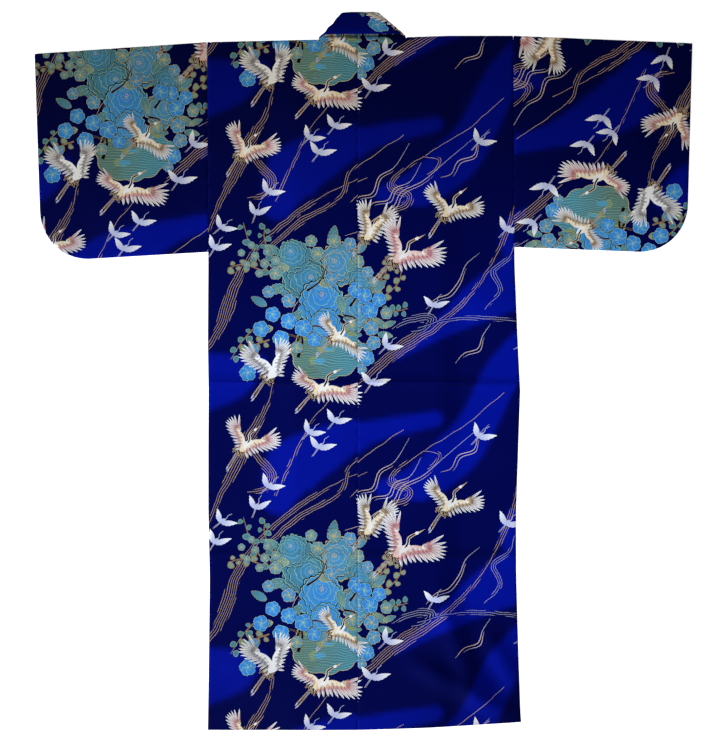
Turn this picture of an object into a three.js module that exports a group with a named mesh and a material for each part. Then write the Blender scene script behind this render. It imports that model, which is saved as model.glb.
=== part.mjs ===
// A yukata laid flat on its front with both sleeves spread, back up.
// Millimetres, +X towards the sleeve on the right of the back view, +Y towards the collar, +Z up.
// The floor is z = 0. Each piece is one wall of cloth that lies on the pieces under it.

import * as THREE from 'three';

// ---- Driving sizes -------------------------------------------------------------------------

const CLOTH = 1.2; // wall of a panel
const BAND = 2.0; // wall of the collar, a band folded over its own seam allowances
const GAP = 0.3; // space left at a seam and between layers
const CURVE_EASE = 0.5; // more on each side of the collar's curved seam, where straight facets stray
const NECK_EASE = { x: 2.0, y: 3.4 }; // from the neck point to the start of the collar's fold

const CENTRE_X = -12; // centre back seam
const COLLAR_TOP_Y = 735.5;
const COLLAR_END_Y = 10; // where the collar bands end on the front edges
const OKUMI_WIDTH = 155; // overlap panel, seam to front edge
const COLLAR_WIDTH = 55;

// The two storage creases across the back: at half and three quarters of the length.
const CREASES = [
  { y: -25, height: 1.4, halfWidth: 14 },
  { y: -377, height: 0.9, halfWidth: 16 },
];

// Soft folds of the laid cloth: each a low ridge from one end to the other.
const SOFT_FOLDS = [
  { x0: 130, y0: -520, x1: 300, y1: -700, width: 42, height: 1.8 },
  { x0: 60, y0: -600, x1: 210, y1: -725, width: 38, height: 1.3 },
  { x0: 210, y0: -430, x1: 318, y1: -560, width: 40, height: 1.1 },
  { x0: -290, y0: -560, x1: -150, y1: -690, width: 45, height: 0.9 },
  { x0: -300, y0: 120, x1: -150, y1: 300, width: 50, height: 0.8 },
  { x0: 140, y0: 260, x1: 290, y1: 90, width: 50, height: 0.8 },
  { x0: -620, y0: 420, x1: -420, y1: 600, width: 48, height: 0.9 },
  { x0: 400, y0: 330, x1: 620, y1: 470, width: 48, height: 0.9 },
  { x0: -560, y0: 290, x1: -390, y1: 380, width: 42, height: 0.7 },
];

// Side edges of the body from hem to armhole.
const BODY_EDGES = [
  { y: -736, left: -319, right: 323 },
  { y: -600, left: -317, right: 318 },
  { y: -420, left: -315, right: 313 },
  { y: -290, left: -318, right: 312.5 },
  { y: -160, left: -318, right: 317 },
  { y: -40, left: -317.5, right: 321 },
  { y: 60, left: -319, right: 316 },
  { y: 220, left: -318, right: 309.5 },
  { y: 690, left: -321, right: 307 },
];

// Hem of the back from left to right.
const HEM = [
  { x: -320, y: -735.5 },
  { x: -12, y: -735 },
  { x: 120, y: -731 },
  { x: 200, y: -727 },
  { x: 325, y: -719 },
];

// Top edge of the back: shoulder folds, and the neckline where the collar is sewn on.
const TOP_EDGE = [
  { x: -322, y: 674 },
  { x: -95, y: 679 },
  { x: -79, y: 689.5 },
  { x: 75, y: 690.5 },
  { x: 89, y: 684 },
  { x: 177, y: 687 },
  { x: 310, y: 687 },
];

// The two halves. side is -1 for the left of the back view, +1 for the right. The neckline turns
// from the shoulder at neckX and runs straight across the back from neckCornerX.
const HALVES = {
  left: {
    side: -1, neckX: -95, neckCornerX: -79, okumiSeamX: -69, foldTopX: -44, layerIsLow: true,
  },
  right: {
    side: 1, neckX: 89, neckCornerX: 75, okumiSeamX: 60, foldTopX: 30, layerIsLow: false,
  },
};

// Sleeves: their ends at the armhole, outer edge, and lowest place before the round corner.
const SLEEVES = {
  left: {
    armholeTopY: 674, armholeBottomY: 244, outerTopX: -674, outerTopY: 650,
    outerBottomX: -663, bottomY: 229.5,
  },
  right: {
    armholeTopY: 687, armholeBottomY: 254, outerTopX: 674, outerTopY: 672,
    outerBottomX: 665, bottomY: 244,
  },
};
const CORNER_RADIUS_X = 98;
const CORNER_RADIUS_Y = 100;

// Where the right front steps up onto the left one, and the back onto both, from foot to full height.
const FRONT_STEP = { rightFull: 112, rightFoot: 172, crossingFull: 452, crossingFoot: 540 };
const BACK_STEP = {
  leftFoot: -200, leftFull: -130, rightFull: 145, rightFoot: 205, crossingFull: 505, crossingFoot: 590,
};

// Net density.
const SIDE_COLUMNS = 8; // side edge to neck point
const NECK_COLUMNS = 5; // neck point to centre seam
const ROW_STEP = 52;
const FOLD_STEPS = 4; // facets round a folded edge
const SLEEVE_ROWS = 10;
const SLEEVE_COLUMNS = 7; // armhole to the round corner
const CORNER_COLUMNS = 6;
const BAND_STATIONS = 20; // along one front band of the collar
const BAND_COLUMNS = 2;

const NAVY = 0x0b1450;
const ROYAL_BLUE = 0x122a8c;

// ---- Small helpers -------------------------------------------------------------------------

const mix = THREE.MathUtils.lerp;

/** 0 below a, 1 above b, smooth between. */
function rise(a, b, value) {
  return THREE.MathUtils.smoothstep(value, a, b);
}

/** Value of a column of a short table at a place, straight between its rows. */
function readTable(table, key, at, column) {
  const next = table.findIndex((row) => row[key] >= at);
  if (next === 0) return table[0][column];
  if (next < 0) return table[table.length - 1][column];
  const low = table[next - 1];
  const high = table[next];
  return mix(low[column], high[column], (at - low[key]) / (high[key] - low[key]));
}

const topEdge = (x) => readTable(TOP_EDGE, 'x', x, 'y');
const hemEdge = (x) => readTable(HEM, 'x', x, 'y');
const sideEdge = (half, y) => readTable(BODY_EDGES, 'y', y, half.side < 0 ? 'left' : 'right');

/** Y places from one end to the other, with one on each side and on top of every crease. */
function rowPlaces(fromY, toY, extra = []) {
  const count = Math.ceil((toY - fromY) / ROW_STEP);
  const even = Array.from({ length: count - 1 }, (_, k) => mix(fromY, toY, (k + 1) / count));
  const creaseRows = CREASES.flatMap((crease) => [-1, 0, 1].map((k) => crease.y + k * crease.halfWidth));
  const fixed = [...creaseRows, ...extra].filter((y) => y > fromY && y < toY);
  const clear = even.filter((y) => fixed.every((other) => Math.abs(y - other) > ROW_STEP / 4));
  return [...fixed, ...clear].sort((a, b) => a - b);
}

// ---- Heights of the layers -----------------------------------------------------------------

/** Height of the soft folds and storage creases over a plain layer. */
function relief(x, y, withCreases) {
  let height = 0;
  for (const fold of SOFT_FOLDS) {
    const along = new THREE.Vector2(fold.x1 - fold.x0, fold.y1 - fold.y0);
    const length = along.length();
    along.normalize();
    const from = new THREE.Vector2(x - fold.x0, y - fold.y0);
    const share = from.dot(along) / length;
    const across = from.cross(along) / fold.width;
    height += fold.height * Math.exp(-across * across) * rise(-0.1, 0.3, share) * (1 - rise(0.7, 1.1, share));
  }
  if (withCreases) {
    for (const crease of CREASES) {
      height += crease.height * Math.max(0, 1 - Math.abs(y - crease.y) / crease.halfWidth);
    }
  }
  return height;
}

/** Underside of the front layers: the left front is on the floor, the right one lies over it. */
function frontBase(half, x, y) {
  if (half.layerIsLow) return 0;
  const overLeft = 1 - rise(FRONT_STEP.rightFull, FRONT_STEP.rightFoot, x);
  const belowCrossing = 1 - rise(FRONT_STEP.crossingFull, FRONT_STEP.crossingFoot, y);
  return (BAND + GAP) * overLeft * belowCrossing;
}

/** Underside of the back, over both fronts and the collar bands. */
function backBase(x, y) {
  const fromLeft = rise(BACK_STEP.leftFoot, BACK_STEP.leftFull, x);
  const toRight = 1 - rise(BACK_STEP.rightFull, BACK_STEP.rightFoot, x);
  const belowCrossing = 1 - rise(BACK_STEP.crossingFull, BACK_STEP.crossingFoot, y);
  const overBands = fromLeft * toRight * (BAND - CLOTH + (BAND + GAP) * belowCrossing);
  return CLOTH + GAP + overBands + relief(x, y, true);
}

const backSleeveBase = (x, y) => CLOTH + GAP + relief(x, y, false);

// ---- Walls of cloth ------------------------------------------------------------------------

/**
 * A closed wall over a net of point pairs. net[row][column] is { outer, inner } or null where
 * there is no cloth. A ring joins the last row to the first.
 */
function wallGeometry(net, isRing = false) {
  const rows = net.length;
  const columns = net[0].length;
  const numbers = new Map();
  const positions = [];
  const triangles = [];
  const vertex = (row, column, face) => {
    const key = `${row % rows},${column},${face}`;
    if (!numbers.has(key)) {
      numbers.set(key, positions.length / 3);
      positions.push(...net[row % rows][column][face].toArray());
    }
    return numbers.get(key);
  };
  const quad = (a, b, c, d) => triangles.push(a, b, c, a, c, d);
  const rowCells = isRing ? rows : rows - 1;
  const hasCell = (row, column) => {
    if (column < 0 || column >= columns - 1) return false;
    if (!isRing && (row < 0 || row >= rowCells)) return false;
    const low = (row + rows) % rows;
    const high = (row + 1 + rows) % rows;
    return [net[low][column], net[low][column + 1], net[high][column], net[high][column + 1]].every(Boolean);
  };
  const rim = (rowA, columnA, rowB, columnB) => quad(
    vertex(rowA, columnA, 'outer'), vertex(rowA, columnA, 'inner'),
    vertex(rowB, columnB, 'inner'), vertex(rowB, columnB, 'outer'),
  );

  for (let row = 0; row < rowCells; row += 1) {
    for (let column = 0; column < columns - 1; column += 1) {
      if (!hasCell(row, column)) continue;
      const corners = [[row, column], [row, column + 1], [row + 1, column + 1], [row + 1, column]];
      quad(...corners.map(([r, c]) => vertex(r, c, 'outer')));
      quad(...corners.map(([r, c]) => vertex(r, c, 'inner')).reverse());
      if (!hasCell(row - 1, column)) rim(row, column, row, column + 1);
      if (!hasCell(row, column + 1)) rim(row, column + 1, row + 1, column + 1);
      if (!hasCell(row + 1, column)) rim(row + 1, column + 1, row + 1, column);
      if (!hasCell(row, column - 1)) rim(row + 1, column, row, column);
    }
  }

  const geometry = new THREE.BufferGeometry();
  geometry.setAttribute('position', new THREE.Float32BufferAttribute(positions, 3));
  geometry.setIndex(facesOut(positions, triangles) ? triangles : triangles.reverse());
  geometry.computeVertexNormals();
  return geometry;
}

/** Whether the triangles enclose a positive volume. */
function facesOut(positions, triangles) {
  const corner = (number) => new THREE.Vector3().fromArray(positions, 3 * number);
  let volume = 0;
  for (let k = 0; k < triangles.length; k += 3) {
    const [a, b, c] = [corner(triangles[k]), corner(triangles[k + 1]), corner(triangles[k + 2])];
    volume += a.dot(b.cross(c));
  }
  return volume > 0;
}

/** A point pair of a layer that lies back up: outer on top. */
function upperPair(x, y, base) {
  return { outer: new THREE.Vector3(x, y, base + CLOTH), inner: new THREE.Vector3(x, y, base) };
}

/** A point pair of a layer that lies face down: outer underneath. */
function lowerPair(x, y, base, wall = CLOTH) {
  return { outer: new THREE.Vector3(x, y, base), inner: new THREE.Vector3(x, y, base + wall) };
}

/**
 * A point pair on the round edge between an upper and a lower layer. turn runs from 0 on the
 * upper layer to 1 on the lower one. edge is the outermost place and out points away from the cloth.
 */
function foldPair(edge, out, upperTop, lowerBottom, turn, wall = CLOTH) {
  const radius = (upperTop - lowerBottom) / 2;
  const middle = (upperTop + lowerBottom) / 2;
  const angle = Math.PI * (0.5 - turn);
  const place = (r) => {
    const reach = r * Math.cos(angle) - radius;
    return new THREE.Vector3(edge.x + out.x * reach, edge.y + out.y * reach, middle + r * Math.sin(angle));
  };
  return { outer: place(radius), inner: place(radius - wall) };
}

const foldTurns = Array.from({ length: FOLD_STEPS + 1 }, (_, k) => k / FOLD_STEPS);

function pieceOfCloth(name, geometry, colour) {
  const material = new THREE.MeshStandardMaterial({
    color: colour, roughness: 0.62, metalness: 0, side: THREE.FrontSide,
  });
  const mesh = new THREE.Mesh(geometry, material);
  mesh.name = name;
  return mesh;
}

// ---- Collar seam line ----------------------------------------------------------------------

/** Share of the way up a front band, 0 at its end and 1 at the neck, at a place on the seam. */
function bandShare(half, y) {
  const neckY = topEdge(half.neckX);
  return THREE.MathUtils.clamp((y - COLLAR_END_Y) / (neckY - COLLAR_END_Y), 0, 1);
}

const frontEdgeX = (half) => half.okumiSeamX - half.side * OKUMI_WIDTH;

/** X of the seam between collar band and front: steep at the neck, slanting lower down. */
function collarSeamX(half, y) {
  const endX = frontEdgeX(half) + half.side * COLLAR_WIDTH;
  return mix(half.neckX, endX, (1 - bandShare(half, y)) ** 1.5);
}

/** Y where the collar seam leaves the front panel and runs onto the overlap panel. */
function okumiPointY(half) {
  const endX = frontEdgeX(half) + half.side * COLLAR_WIDTH;
  const share = ((half.okumiSeamX - half.neckX) / (endX - half.neckX)) ** (2 / 3);
  return mix(topEdge(half.neckX), COLLAR_END_Y, share);
}

// ---- Body: back and front in one length, folded over the shoulder ----------------------------

/** X of the columns from the neck point to the centre seam. */
function neckColumns(half) {
  const centreX = CENTRE_X + (half.side * GAP) / 2;
  const straight = Array.from({ length: NECK_COLUMNS }, (_, k) => (
    mix(half.neckCornerX, centreX, k / (NECK_COLUMNS - 1))));
  return [half.neckX + (half.side * GAP) / 2, ...straight];
}

function bodyGeometry(half) {
  const outward = half.side;
  const neckX = neckColumns(half);
  const lastColumn = SIDE_COLUMNS + NECK_COLUMNS;
  const backX = (column, y) => (column <= SIDE_COLUMNS
    ? mix(sideEdge(half, y), neckX[0], column / SIDE_COLUMNS)
    : neckX[column - SIDE_COLUMNS]);
  const columns = Array.from({ length: lastColumn + 1 }, (_, k) => k);

  const pointY = okumiPointY(half);
  const innerX = (y) => (y > pointY
    ? collarSeamX(half, y) + outward * (GAP / 2 + CURVE_EASE)
    : half.okumiSeamX + (outward * GAP) / 2);
  const frontX = (column, y) => mix(sideEdge(half, y), innerX(y), column / SIDE_COLUMNS);

  const hemY = HEM[0].y;
  const shoulderY = topEdge(half.neckX) - 8;
  const backRows = rowPlaces(hemY, shoulderY).map((y) => columns.map((column) => {
    const x = backX(column, y);
    return upperPair(x, y, backBase(x, y));
  }));
  const hemRow = columns.map((column) => {
    const x = backX(column, hemY);
    return upperPair(x, hemEdge(x), backBase(x, hemEdge(x)));
  });

  const foldRows = foldTurns.map((turn) => columns.map((column) => {
    const x = backX(column, shoulderY);
    const y = topEdge(x);
    if (column > SIDE_COLUMNS) return turn === 0 ? upperPair(x, y, backBase(x, y)) : null;
    const edge = new THREE.Vector2(x, y);
    const upward = new THREE.Vector2(0, 1);
    return foldPair(edge, upward, backBase(x, y) + CLOTH, frontBase(half, x, y), turn);
  }));

  const frontRows = rowPlaces(hemY, shoulderY, [pointY]).reverse().map((y) => columns.map((column) => {
    if (column > SIDE_COLUMNS) return null;
    const x = frontX(column, y);
    return lowerPair(x, y, frontBase(half, x, y));
  }));
  const frontHemRow = columns.map((column) => {
    if (column > SIDE_COLUMNS) return null;
    const x = frontX(column, hemY);
    return lowerPair(x, hemEdge(x), frontBase(half, x, hemEdge(x)));
  });

  return wallGeometry([hemRow, ...backRows, ...foldRows, ...frontRows, frontHemRow]);
}

// ---- Okumi: the overlap panel along each front edge ------------------------------------------

function okumiGeometry(half) {
  const seamX = half.okumiSeamX - (half.side * GAP) / 2;
  const edgeX = frontEdgeX(half);
  const bodyColumns = 4; // under the collar seam
  const edgeColumns = 2; // past the end of the collar, out to the front edge
  const columns = Array.from({ length: bodyColumns + edgeColumns + 1 }, (_, k) => k);
  const collarX = (y) => collarSeamX(half, y) + half.side * (GAP / 2 + CURVE_EASE);
  const placeX = (column, y) => (column <= bodyColumns
    ? mix(seamX, collarX(y), column / bodyColumns)
    : mix(collarX(y), edgeX, (column - bodyColumns) / edgeColumns));
  const pointWidth = 3;
  const topY = okumiPointY(half) - (pointWidth * (topEdge(half.neckX) - COLLAR_END_Y)) / OKUMI_WIDTH;

  const row = (y, isWide) => columns.map((column) => {
    if (column > bodyColumns && !isWide) return null;
    const x = placeX(column, y);
    const placeY = y === HEM[0].y ? hemEdge(x) : y;
    return lowerPair(x, placeY, frontBase(half, x, placeY));
  });
  const lowerRows = rowPlaces(HEM[0].y, COLLAR_END_Y).map((y) => row(y, true));
  const upperRows = rowPlaces(COLLAR_END_Y, topY).map((y) => row(y, false));
  return wallGeometry([
    row(HEM[0].y, true), ...lowerRows, row(COLLAR_END_Y, true), ...upperRows, row(topY, false),
  ]);
}

// ---- Sleeves: one cloth folded at the top and sewn along the bottom --------------------------

/** Columns of a sleeve from armhole to outer edge: X at the bottom and top, and both Y. */
function sleeveColumns(half, sleeve) {
  const cornerX = sleeve.outerBottomX - half.side * CORNER_RADIUS_X;
  const cornerY = sleeve.bottomY + CORNER_RADIUS_Y;
  const armholeX = (y) => sideEdge(half, y) + half.side * GAP;
  const innerTopX = armholeX(sleeve.armholeTopY);
  const innerBottomX = armholeX(sleeve.armholeBottomY);
  const topY = (x) => mix(
    sleeve.armholeTopY,
    sleeve.outerTopY,
    (x - innerTopX) / (sleeve.outerTopX - innerTopX),
  );
  const plain = Array.from({ length: SLEEVE_COLUMNS }, (_, k) => {
    const share = k / SLEEVE_COLUMNS;
    const topX = mix(innerTopX, cornerX, share);
    return {
      bottomX: mix(innerBottomX, cornerX, share),
      topX,
      bottomY: mix(sleeve.armholeBottomY, sleeve.bottomY, share),
      topY: topY(topX),
    };
  });
  const corner = Array.from({ length: CORNER_COLUMNS + 1 }, (_, k) => {
    const angle = (k / CORNER_COLUMNS) * (Math.PI / 2);
    const bottomX = cornerX + half.side * CORNER_RADIUS_X * Math.sin(angle);
    const topX = mix(cornerX, sleeve.outerTopX, Math.sin(angle));
    return { bottomX, topX, bottomY: cornerY - CORNER_RADIUS_Y * Math.cos(angle), topY: topY(topX) };
  });
  return [...plain, ...corner];
}

function sleeveGeometry(half, sleeve) {
  const columns = sleeveColumns(half, sleeve);
  const inset = 6; // the plain rows stop this far from the folded edges
  const placeIn = (column, share) => {
    const y = mix(column.bottomY + inset, column.topY - inset, share);
    const up = (y - column.bottomY) / (column.topY - column.bottomY);
    return { x: mix(column.bottomX, column.topX, up), y };
  };
  const shares = Array.from({ length: SLEEVE_ROWS + 1 }, (_, k) => k / SLEEVE_ROWS);
  const backRows = shares.map((share) => columns.map((column) => {
    const { x, y } = placeIn(column, share);
    return upperPair(x, y, backSleeveBase(x, y));
  }));
  const frontRows = shares.toReversed().map((share) => columns.map((column) => {
    const { x, y } = placeIn(column, share);
    return lowerPair(x, y, 0);
  }));
  const edgeRows = (turns, x, y, out) => turns.map((turn) => columns.map((column) => foldPair(
    new THREE.Vector2(column[x], column[y]),
    new THREE.Vector2(0, out),
    backSleeveBase(column[x], column[y]) + CLOTH,
    0,
    turn,
  )));
  const topFold = edgeRows(foldTurns, 'topX', 'topY', 1);
  const bottomSeam = edgeRows(foldTurns.toReversed(), 'bottomX', 'bottomY', -1);
  return wallGeometry([...backRows, ...topFold, ...frontRows, ...bottomSeam], true);
}

// ---- Collar: one band round the back of the neck and down both front edges -------------------

/** Sections of one front band from its end up to the neck: places of the seam and free edge. */
function frontBand(half) {
  const neck = foldLine(half);
  const endX = frontEdgeX(half);
  return Array.from({ length: BAND_STATIONS }, (_, k) => {
    const share = (k / BAND_STATIONS) * 0.99;
    const drop = (1 - share) ** 1.5;
    const seamY = mix(COLLAR_END_Y + GAP, neck.seam.y, share);
    return {
      seam: new THREE.Vector2(collarSeamX(half, seamY) - half.side * (GAP / 2), seamY),
      free: new THREE.Vector2(
        mix(half.foldTopX, endX, drop),
        mix(COLLAR_END_Y + GAP, COLLAR_TOP_Y - 2, share),
      ),
    };
  });
}

/** The slanting fold at the side of the neck, where the back of the collar turns to the front. */
function foldLine(half) {
  const seam = new THREE.Vector2(
    half.neckX - half.side * NECK_EASE.x,
    topEdge(half.neckX) + NECK_EASE.y,
  );
  const free = new THREE.Vector2(half.foldTopX, COLLAR_TOP_Y);
  const out = new THREE.Vector2(free.y - seam.y, seam.x - free.x).normalize();
  return { seam, free, out: out.multiplyScalar(Math.sign(out.x) === half.side ? 1 : -1) };
}

function collarGeometry() {
  const shares = Array.from({ length: BAND_COLUMNS + 1 }, (_, k) => k / BAND_COLUMNS);
  const backUnder = BAND + GAP;
  const backTop = backUnder + BAND;
  const across = ({ seam, free }, pair) => shares.map((share) => pair(seam.clone().lerp(free, share)));
  const frontRows = (half) => frontBand(half).map((section) => across(
    section,
    (place) => lowerPair(place.x, place.y, frontBase(half, place.x, place.y), BAND),
  ));
  const foldRows = (half) => {
    const line = foldLine(half);
    const pair = (turn) => (place) => foldPair(place, line.out, backTop, 0, turn, BAND);
    return foldTurns.map((turn) => across(line, pair(turn)));
  };
  const leftPlaces = neckColumns(HALVES.left).slice(1);
  const rightPlaces = neckColumns(HALVES.right).slice(1, -1).reverse();
  const places = [...leftPlaces, ...rightPlaces];
  const backRows = places.map((seamX, k) => {
    const freeX = mix(HALVES.left.foldTopX, HALVES.right.foldTopX, (k + 1) / (places.length + 1));
    const section = {
      seam: new THREE.Vector2(seamX, topEdge(seamX) + 1.5 * GAP),
      free: new THREE.Vector2(freeX, COLLAR_TOP_Y),
    };
    return across(section, (place) => ({
      outer: new THREE.Vector3(place.x, place.y, backTop),
      inner: new THREE.Vector3(place.x, place.y, backUnder),
    }));
  });
  return wallGeometry([
    ...frontRows(HALVES.left),
    ...foldRows(HALVES.left).reverse(),
    ...backRows,
    ...foldRows(HALVES.right),
    ...frontRows(HALVES.right).reverse(),
  ]);
}

// ---- The garment -----------------------------------------------------------------------------

const yukata = new THREE.Group();
for (const side of ['left', 'right']) {
  yukata.add(pieceOfCloth(`body_${side}`, bodyGeometry(HALVES[side]), NAVY));
  yukata.add(pieceOfCloth(`okumi_${side}`, okumiGeometry(HALVES[side]), ROYAL_BLUE));
  yukata.add(pieceOfCloth(`sleeve_${side}`, sleeveGeometry(HALVES[side], SLEEVES[side]), NAVY));
}
yukata.add(pieceOfCloth('collar', collarGeometry(), NAVY));

export default yukata;
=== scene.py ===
"""A yukata laid flat, back up: printed cotton over the frame of its pieces."""

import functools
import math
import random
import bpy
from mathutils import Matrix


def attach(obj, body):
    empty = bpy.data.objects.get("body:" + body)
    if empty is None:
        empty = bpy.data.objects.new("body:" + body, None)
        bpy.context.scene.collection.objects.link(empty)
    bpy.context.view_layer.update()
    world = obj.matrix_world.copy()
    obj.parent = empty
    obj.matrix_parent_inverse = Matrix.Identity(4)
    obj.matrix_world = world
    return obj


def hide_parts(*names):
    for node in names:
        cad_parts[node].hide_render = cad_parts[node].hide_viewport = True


bl_info = {
    "name": "Laid yukata",
    "version": (1, 0, 0),
    "blender": (4, 5, 0),
    "location": "3D View > Sidebar > Yukata",
    "description": "A printed cotton yukata laid flat, back up, with its floor, light and camera",
    "category": "Add Mesh",
}

from collections import namedtuple

import bpy
import numpy as np
from mathutils import Vector
from mathutils.bvhtree import BVHTree
from mathutils.geometry import delaunay_2d_cdt

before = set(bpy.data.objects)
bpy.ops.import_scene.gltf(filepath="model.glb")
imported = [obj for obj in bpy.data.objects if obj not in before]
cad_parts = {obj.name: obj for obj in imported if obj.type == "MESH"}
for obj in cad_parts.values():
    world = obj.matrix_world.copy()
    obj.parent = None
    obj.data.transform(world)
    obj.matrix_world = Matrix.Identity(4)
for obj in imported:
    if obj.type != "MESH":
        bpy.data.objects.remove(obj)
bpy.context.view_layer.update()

# Lengths in this file are millimetres until a mesh is made.
MM = 0.001

# ---- Sizes of the garment ----------------------------------------------------------------------

CLOTH = 1.2  # wall of a panel
BAND = 2.0  # wall of the folded collar
GAP = 0.3  # between layers
BACK_BAND_TOP = BAND + GAP + BAND  # top of the collar behind the neck
CENTRE_X = -12.0  # centre back seam
COLLAR_TOP_Y = 735.5
COLLAR_END_Y = 10.0
OKUMI_WIDTH = 155.0
COLLAR_WIDTH = 55.0
CORNER_RADIUS = (98.0, 100.0)  # round corner of a sleeve

# Side edges of the body: y, left x, right x.
BODY_EDGES = np.array((
    (-736, -319, 323), (-600, -317, 318), (-420, -315, 313), (-290, -318, 312.5),
    (-160, -318, 317), (-40, -317.5, 321), (60, -319, 316), (220, -318, 309.5), (690, -321, 307),
))
# Hem of the back, and top edge of the back: x, y.
HEM = np.array(((-320, -735.5), (-12, -735), (120, -731), (200, -727), (325, -719)))
TOP_EDGE = np.array((
    (-322, 674), (-95, 679), (-79, 689.5), (75, 690.5), (89, 684), (177, 687), (310, 687),
))

Half = namedtuple("Half", "side neck_x neck_corner_x okumi_seam_x fold_top_x is_low")
HALVES = {
    "left": Half(-1, -95.0, -79.0, -69.0, -44.0, True),
    "right": Half(1, 89.0, 75.0, 60.0, 30.0, False),
}
Sleeve = namedtuple("Sleeve", "armhole_top_y armhole_bottom_y outer_top outer_bottom_x bottom_y")
SLEEVES = {
    "left": Sleeve(674.0, 244.0, (-674.0, 650.0), -663.0, 229.5),
    "right": Sleeve(687.0, 254.0, (674.0, 672.0), 665.0, 244.0),
}

NECK_HOLLOW = 4.2  # half width of the hollow below the collar's back seam
NECK_RISE = 9.0  # how far the body's fold climbs under the collar at the back of the neck

# Storage creases across the garment: y, height of the ridge, half width of its soft foot.
CREASES = ((-25.0, 1.7, 7.0), (-377.0, 1.1, 9.0))
# Painted highlight and shade along a crease: strength, middle, half width.
CREASE_PAINTED_LIGHT = ((0.5, 0.0, 1.1), (-0.5, -2.6, 1.8), (-0.24, 7.0, 7.5))
# Soft folds of the laid cloth: start x, y, end x, y, width, height.
SOFT_FOLDS = (
    (150, -440, 236, -690, 26, 6.4), (80, -585, 316, -712, 23, 6.0),
    (240, -520, 322, -660, 24, 4.4), (-290, -560, -150, -690, 45, 2.6),
    (-300, 120, -150, 300, 50, 2.4), (140, 260, 290, 90, 50, 2.4),
    (-620, 420, -420, 600, 48, 2.6), (400, 330, 620, 470, 48, 2.6),
    (-560, 290, -390, 380, 42, 2.2),
)
# Where the layers step up over each other, from foot to full height.
FRONT_STEP = {"right": (172.0, 112.0), "crossing": (540.0, 452.0)}
BACK_STEP = {"left": (-200.0, -130.0), "right": (205.0, 145.0), "crossing": (590.0, 505.0)}


class YukataSizes(bpy.types.PropertyGroup):
    """Sizes that a user would change"""

    net_step: bpy.props.FloatProperty(
        name="Net step", description="Spacing of the cloth's net", default=0.009, unit="LENGTH",
        subtype="DISTANCE")
    edge_roll: bpy.props.FloatProperty(
        name="Edge roll", description="How far a seam or folded edge rounds down", default=0.0007,
        unit="LENGTH", subtype="DISTANCE")
    thread: bpy.props.FloatProperty(
        name="Thread", description="Width of one thread of the weave", default=0.0005,
        unit="LENGTH", subtype="DISTANCE")
    camera_distance: bpy.props.FloatProperty(
        name="Camera distance", description="Height of the camera over the floor", default=3.6,
        unit="LENGTH", subtype="DISTANCE")
    view_height: bpy.props.FloatProperty(
        name="View height", description="Length of floor in the picture, along the back",
        default=1.5129, unit="LENGTH", subtype="DISTANCE")


def srgb(red, green, blue):
    """Linear colour of three sRGB bytes."""
    def linear(byte):
        share = byte / 255
        return share / 12.92 if share <= 0.04045 else ((share + 0.055) / 1.055) ** 2.4
    return (linear(red), linear(green), linear(blue))


def colour_property(name, description, colour):
    return bpy.props.FloatVectorProperty(
        name=name, description=description, default=colour, size=3, min=0, max=1, subtype="COLOR")


class YukataColours(bpy.types.PropertyGroup):
    """Inks of the print, and the cloth's reverse"""

    navy: colour_property("Navy", "Ground of the print", srgb(0, 3, 74))
    royal: colour_property("Royal blue", "Haze over the ground", srgb(1, 15, 146))
    reverse: colour_property("Reverse", "Wrong side of the cloth", srgb(24, 30, 96))
    floor: colour_property("Floor", "Plain floor", srgb(250, 250, 250))


# Inks of the motifs.
INK = {
    "sky": srgb(62, 144, 208), "azure": srgb(50, 132, 222), "pale_sky": srgb(108, 174, 208),
    "aqua": srgb(76, 142, 174), "pale_aqua": srgb(146, 194, 188), "sage": srgb(118, 150, 132),
    "olive": srgb(158, 158, 92), "teal": srgb(68, 126, 144), "gold": srgb(196, 184, 128),
    "moss": srgb(116, 138, 98), "pond": srgb(84, 116, 108),
    "dark_gold": srgb(140, 118, 78), "white": srgb(232, 238, 244), "cream": srgb(230, 214, 178),
    "smoke": srgb(132, 128, 130), "fawn": srgb(138, 116, 92), "pink": srgb(190, 128, 138),
    "rose": srgb(222, 184, 178), "black": srgb(4, 3, 14), "umber": srgb(44, 34, 40),
    "lavender": srgb(178, 190, 230), "tan": srgb(206, 180, 148), "silver": srgb(176, 178, 204),
    "brown": srgb(60, 38, 38), "plum": srgb(40, 34, 62),
}


# ---- Lie of the cloth --------------------------------------------------------------------------

def rise(foot, full, value):
    """0 at foot, 1 at full, smooth between, whichever is larger."""
    share = np.clip((value - foot) / (full - foot), 0, 1)
    return share * share * (3 - 2 * share)


def top_edge(x):
    return np.interp(x, TOP_EDGE[:, 0], TOP_EDGE[:, 1])


def hem_edge(x):
    return np.interp(x, HEM[:, 0], HEM[:, 1])


def side_edge(half, y):
    return np.interp(y, BODY_EDGES[:, 0], BODY_EDGES[:, 1 if half.side < 0 else 2])


def past_crease(x, y, crease_y):
    """How far a place lies beyond a storage crease, which waves a little."""
    return y - crease_y - 1.2 * np.sin(x / 61.0)


def relief(x, y, with_creases):
    """Height of the soft folds and storage creases over a plain layer."""
    height = np.zeros_like(x)
    for x0, y0, x1, y1, width, high in SOFT_FOLDS:
        length = math.hypot(x1 - x0, y1 - y0)
        along_x, along_y = (x1 - x0) / length, (y1 - y0) / length
        share = ((x - x0) * along_x + (y - y0) * along_y) / length
        across = ((x - x0) * along_y - (y - y0) * along_x) / width
        height += high * np.exp(-across**2) * rise(-0.1, 0.3, share) * rise(1.1, 0.7, share)
    if with_creases:
        for crease_y, high, foot in CREASES:
            height += high * np.exp(-np.abs(past_crease(x, y, crease_y)) / foot)
    return height + 0.28 * (np.sin(x / 37 + y / 53) * np.sin(y / 41 - x / 71) + 1)


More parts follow.
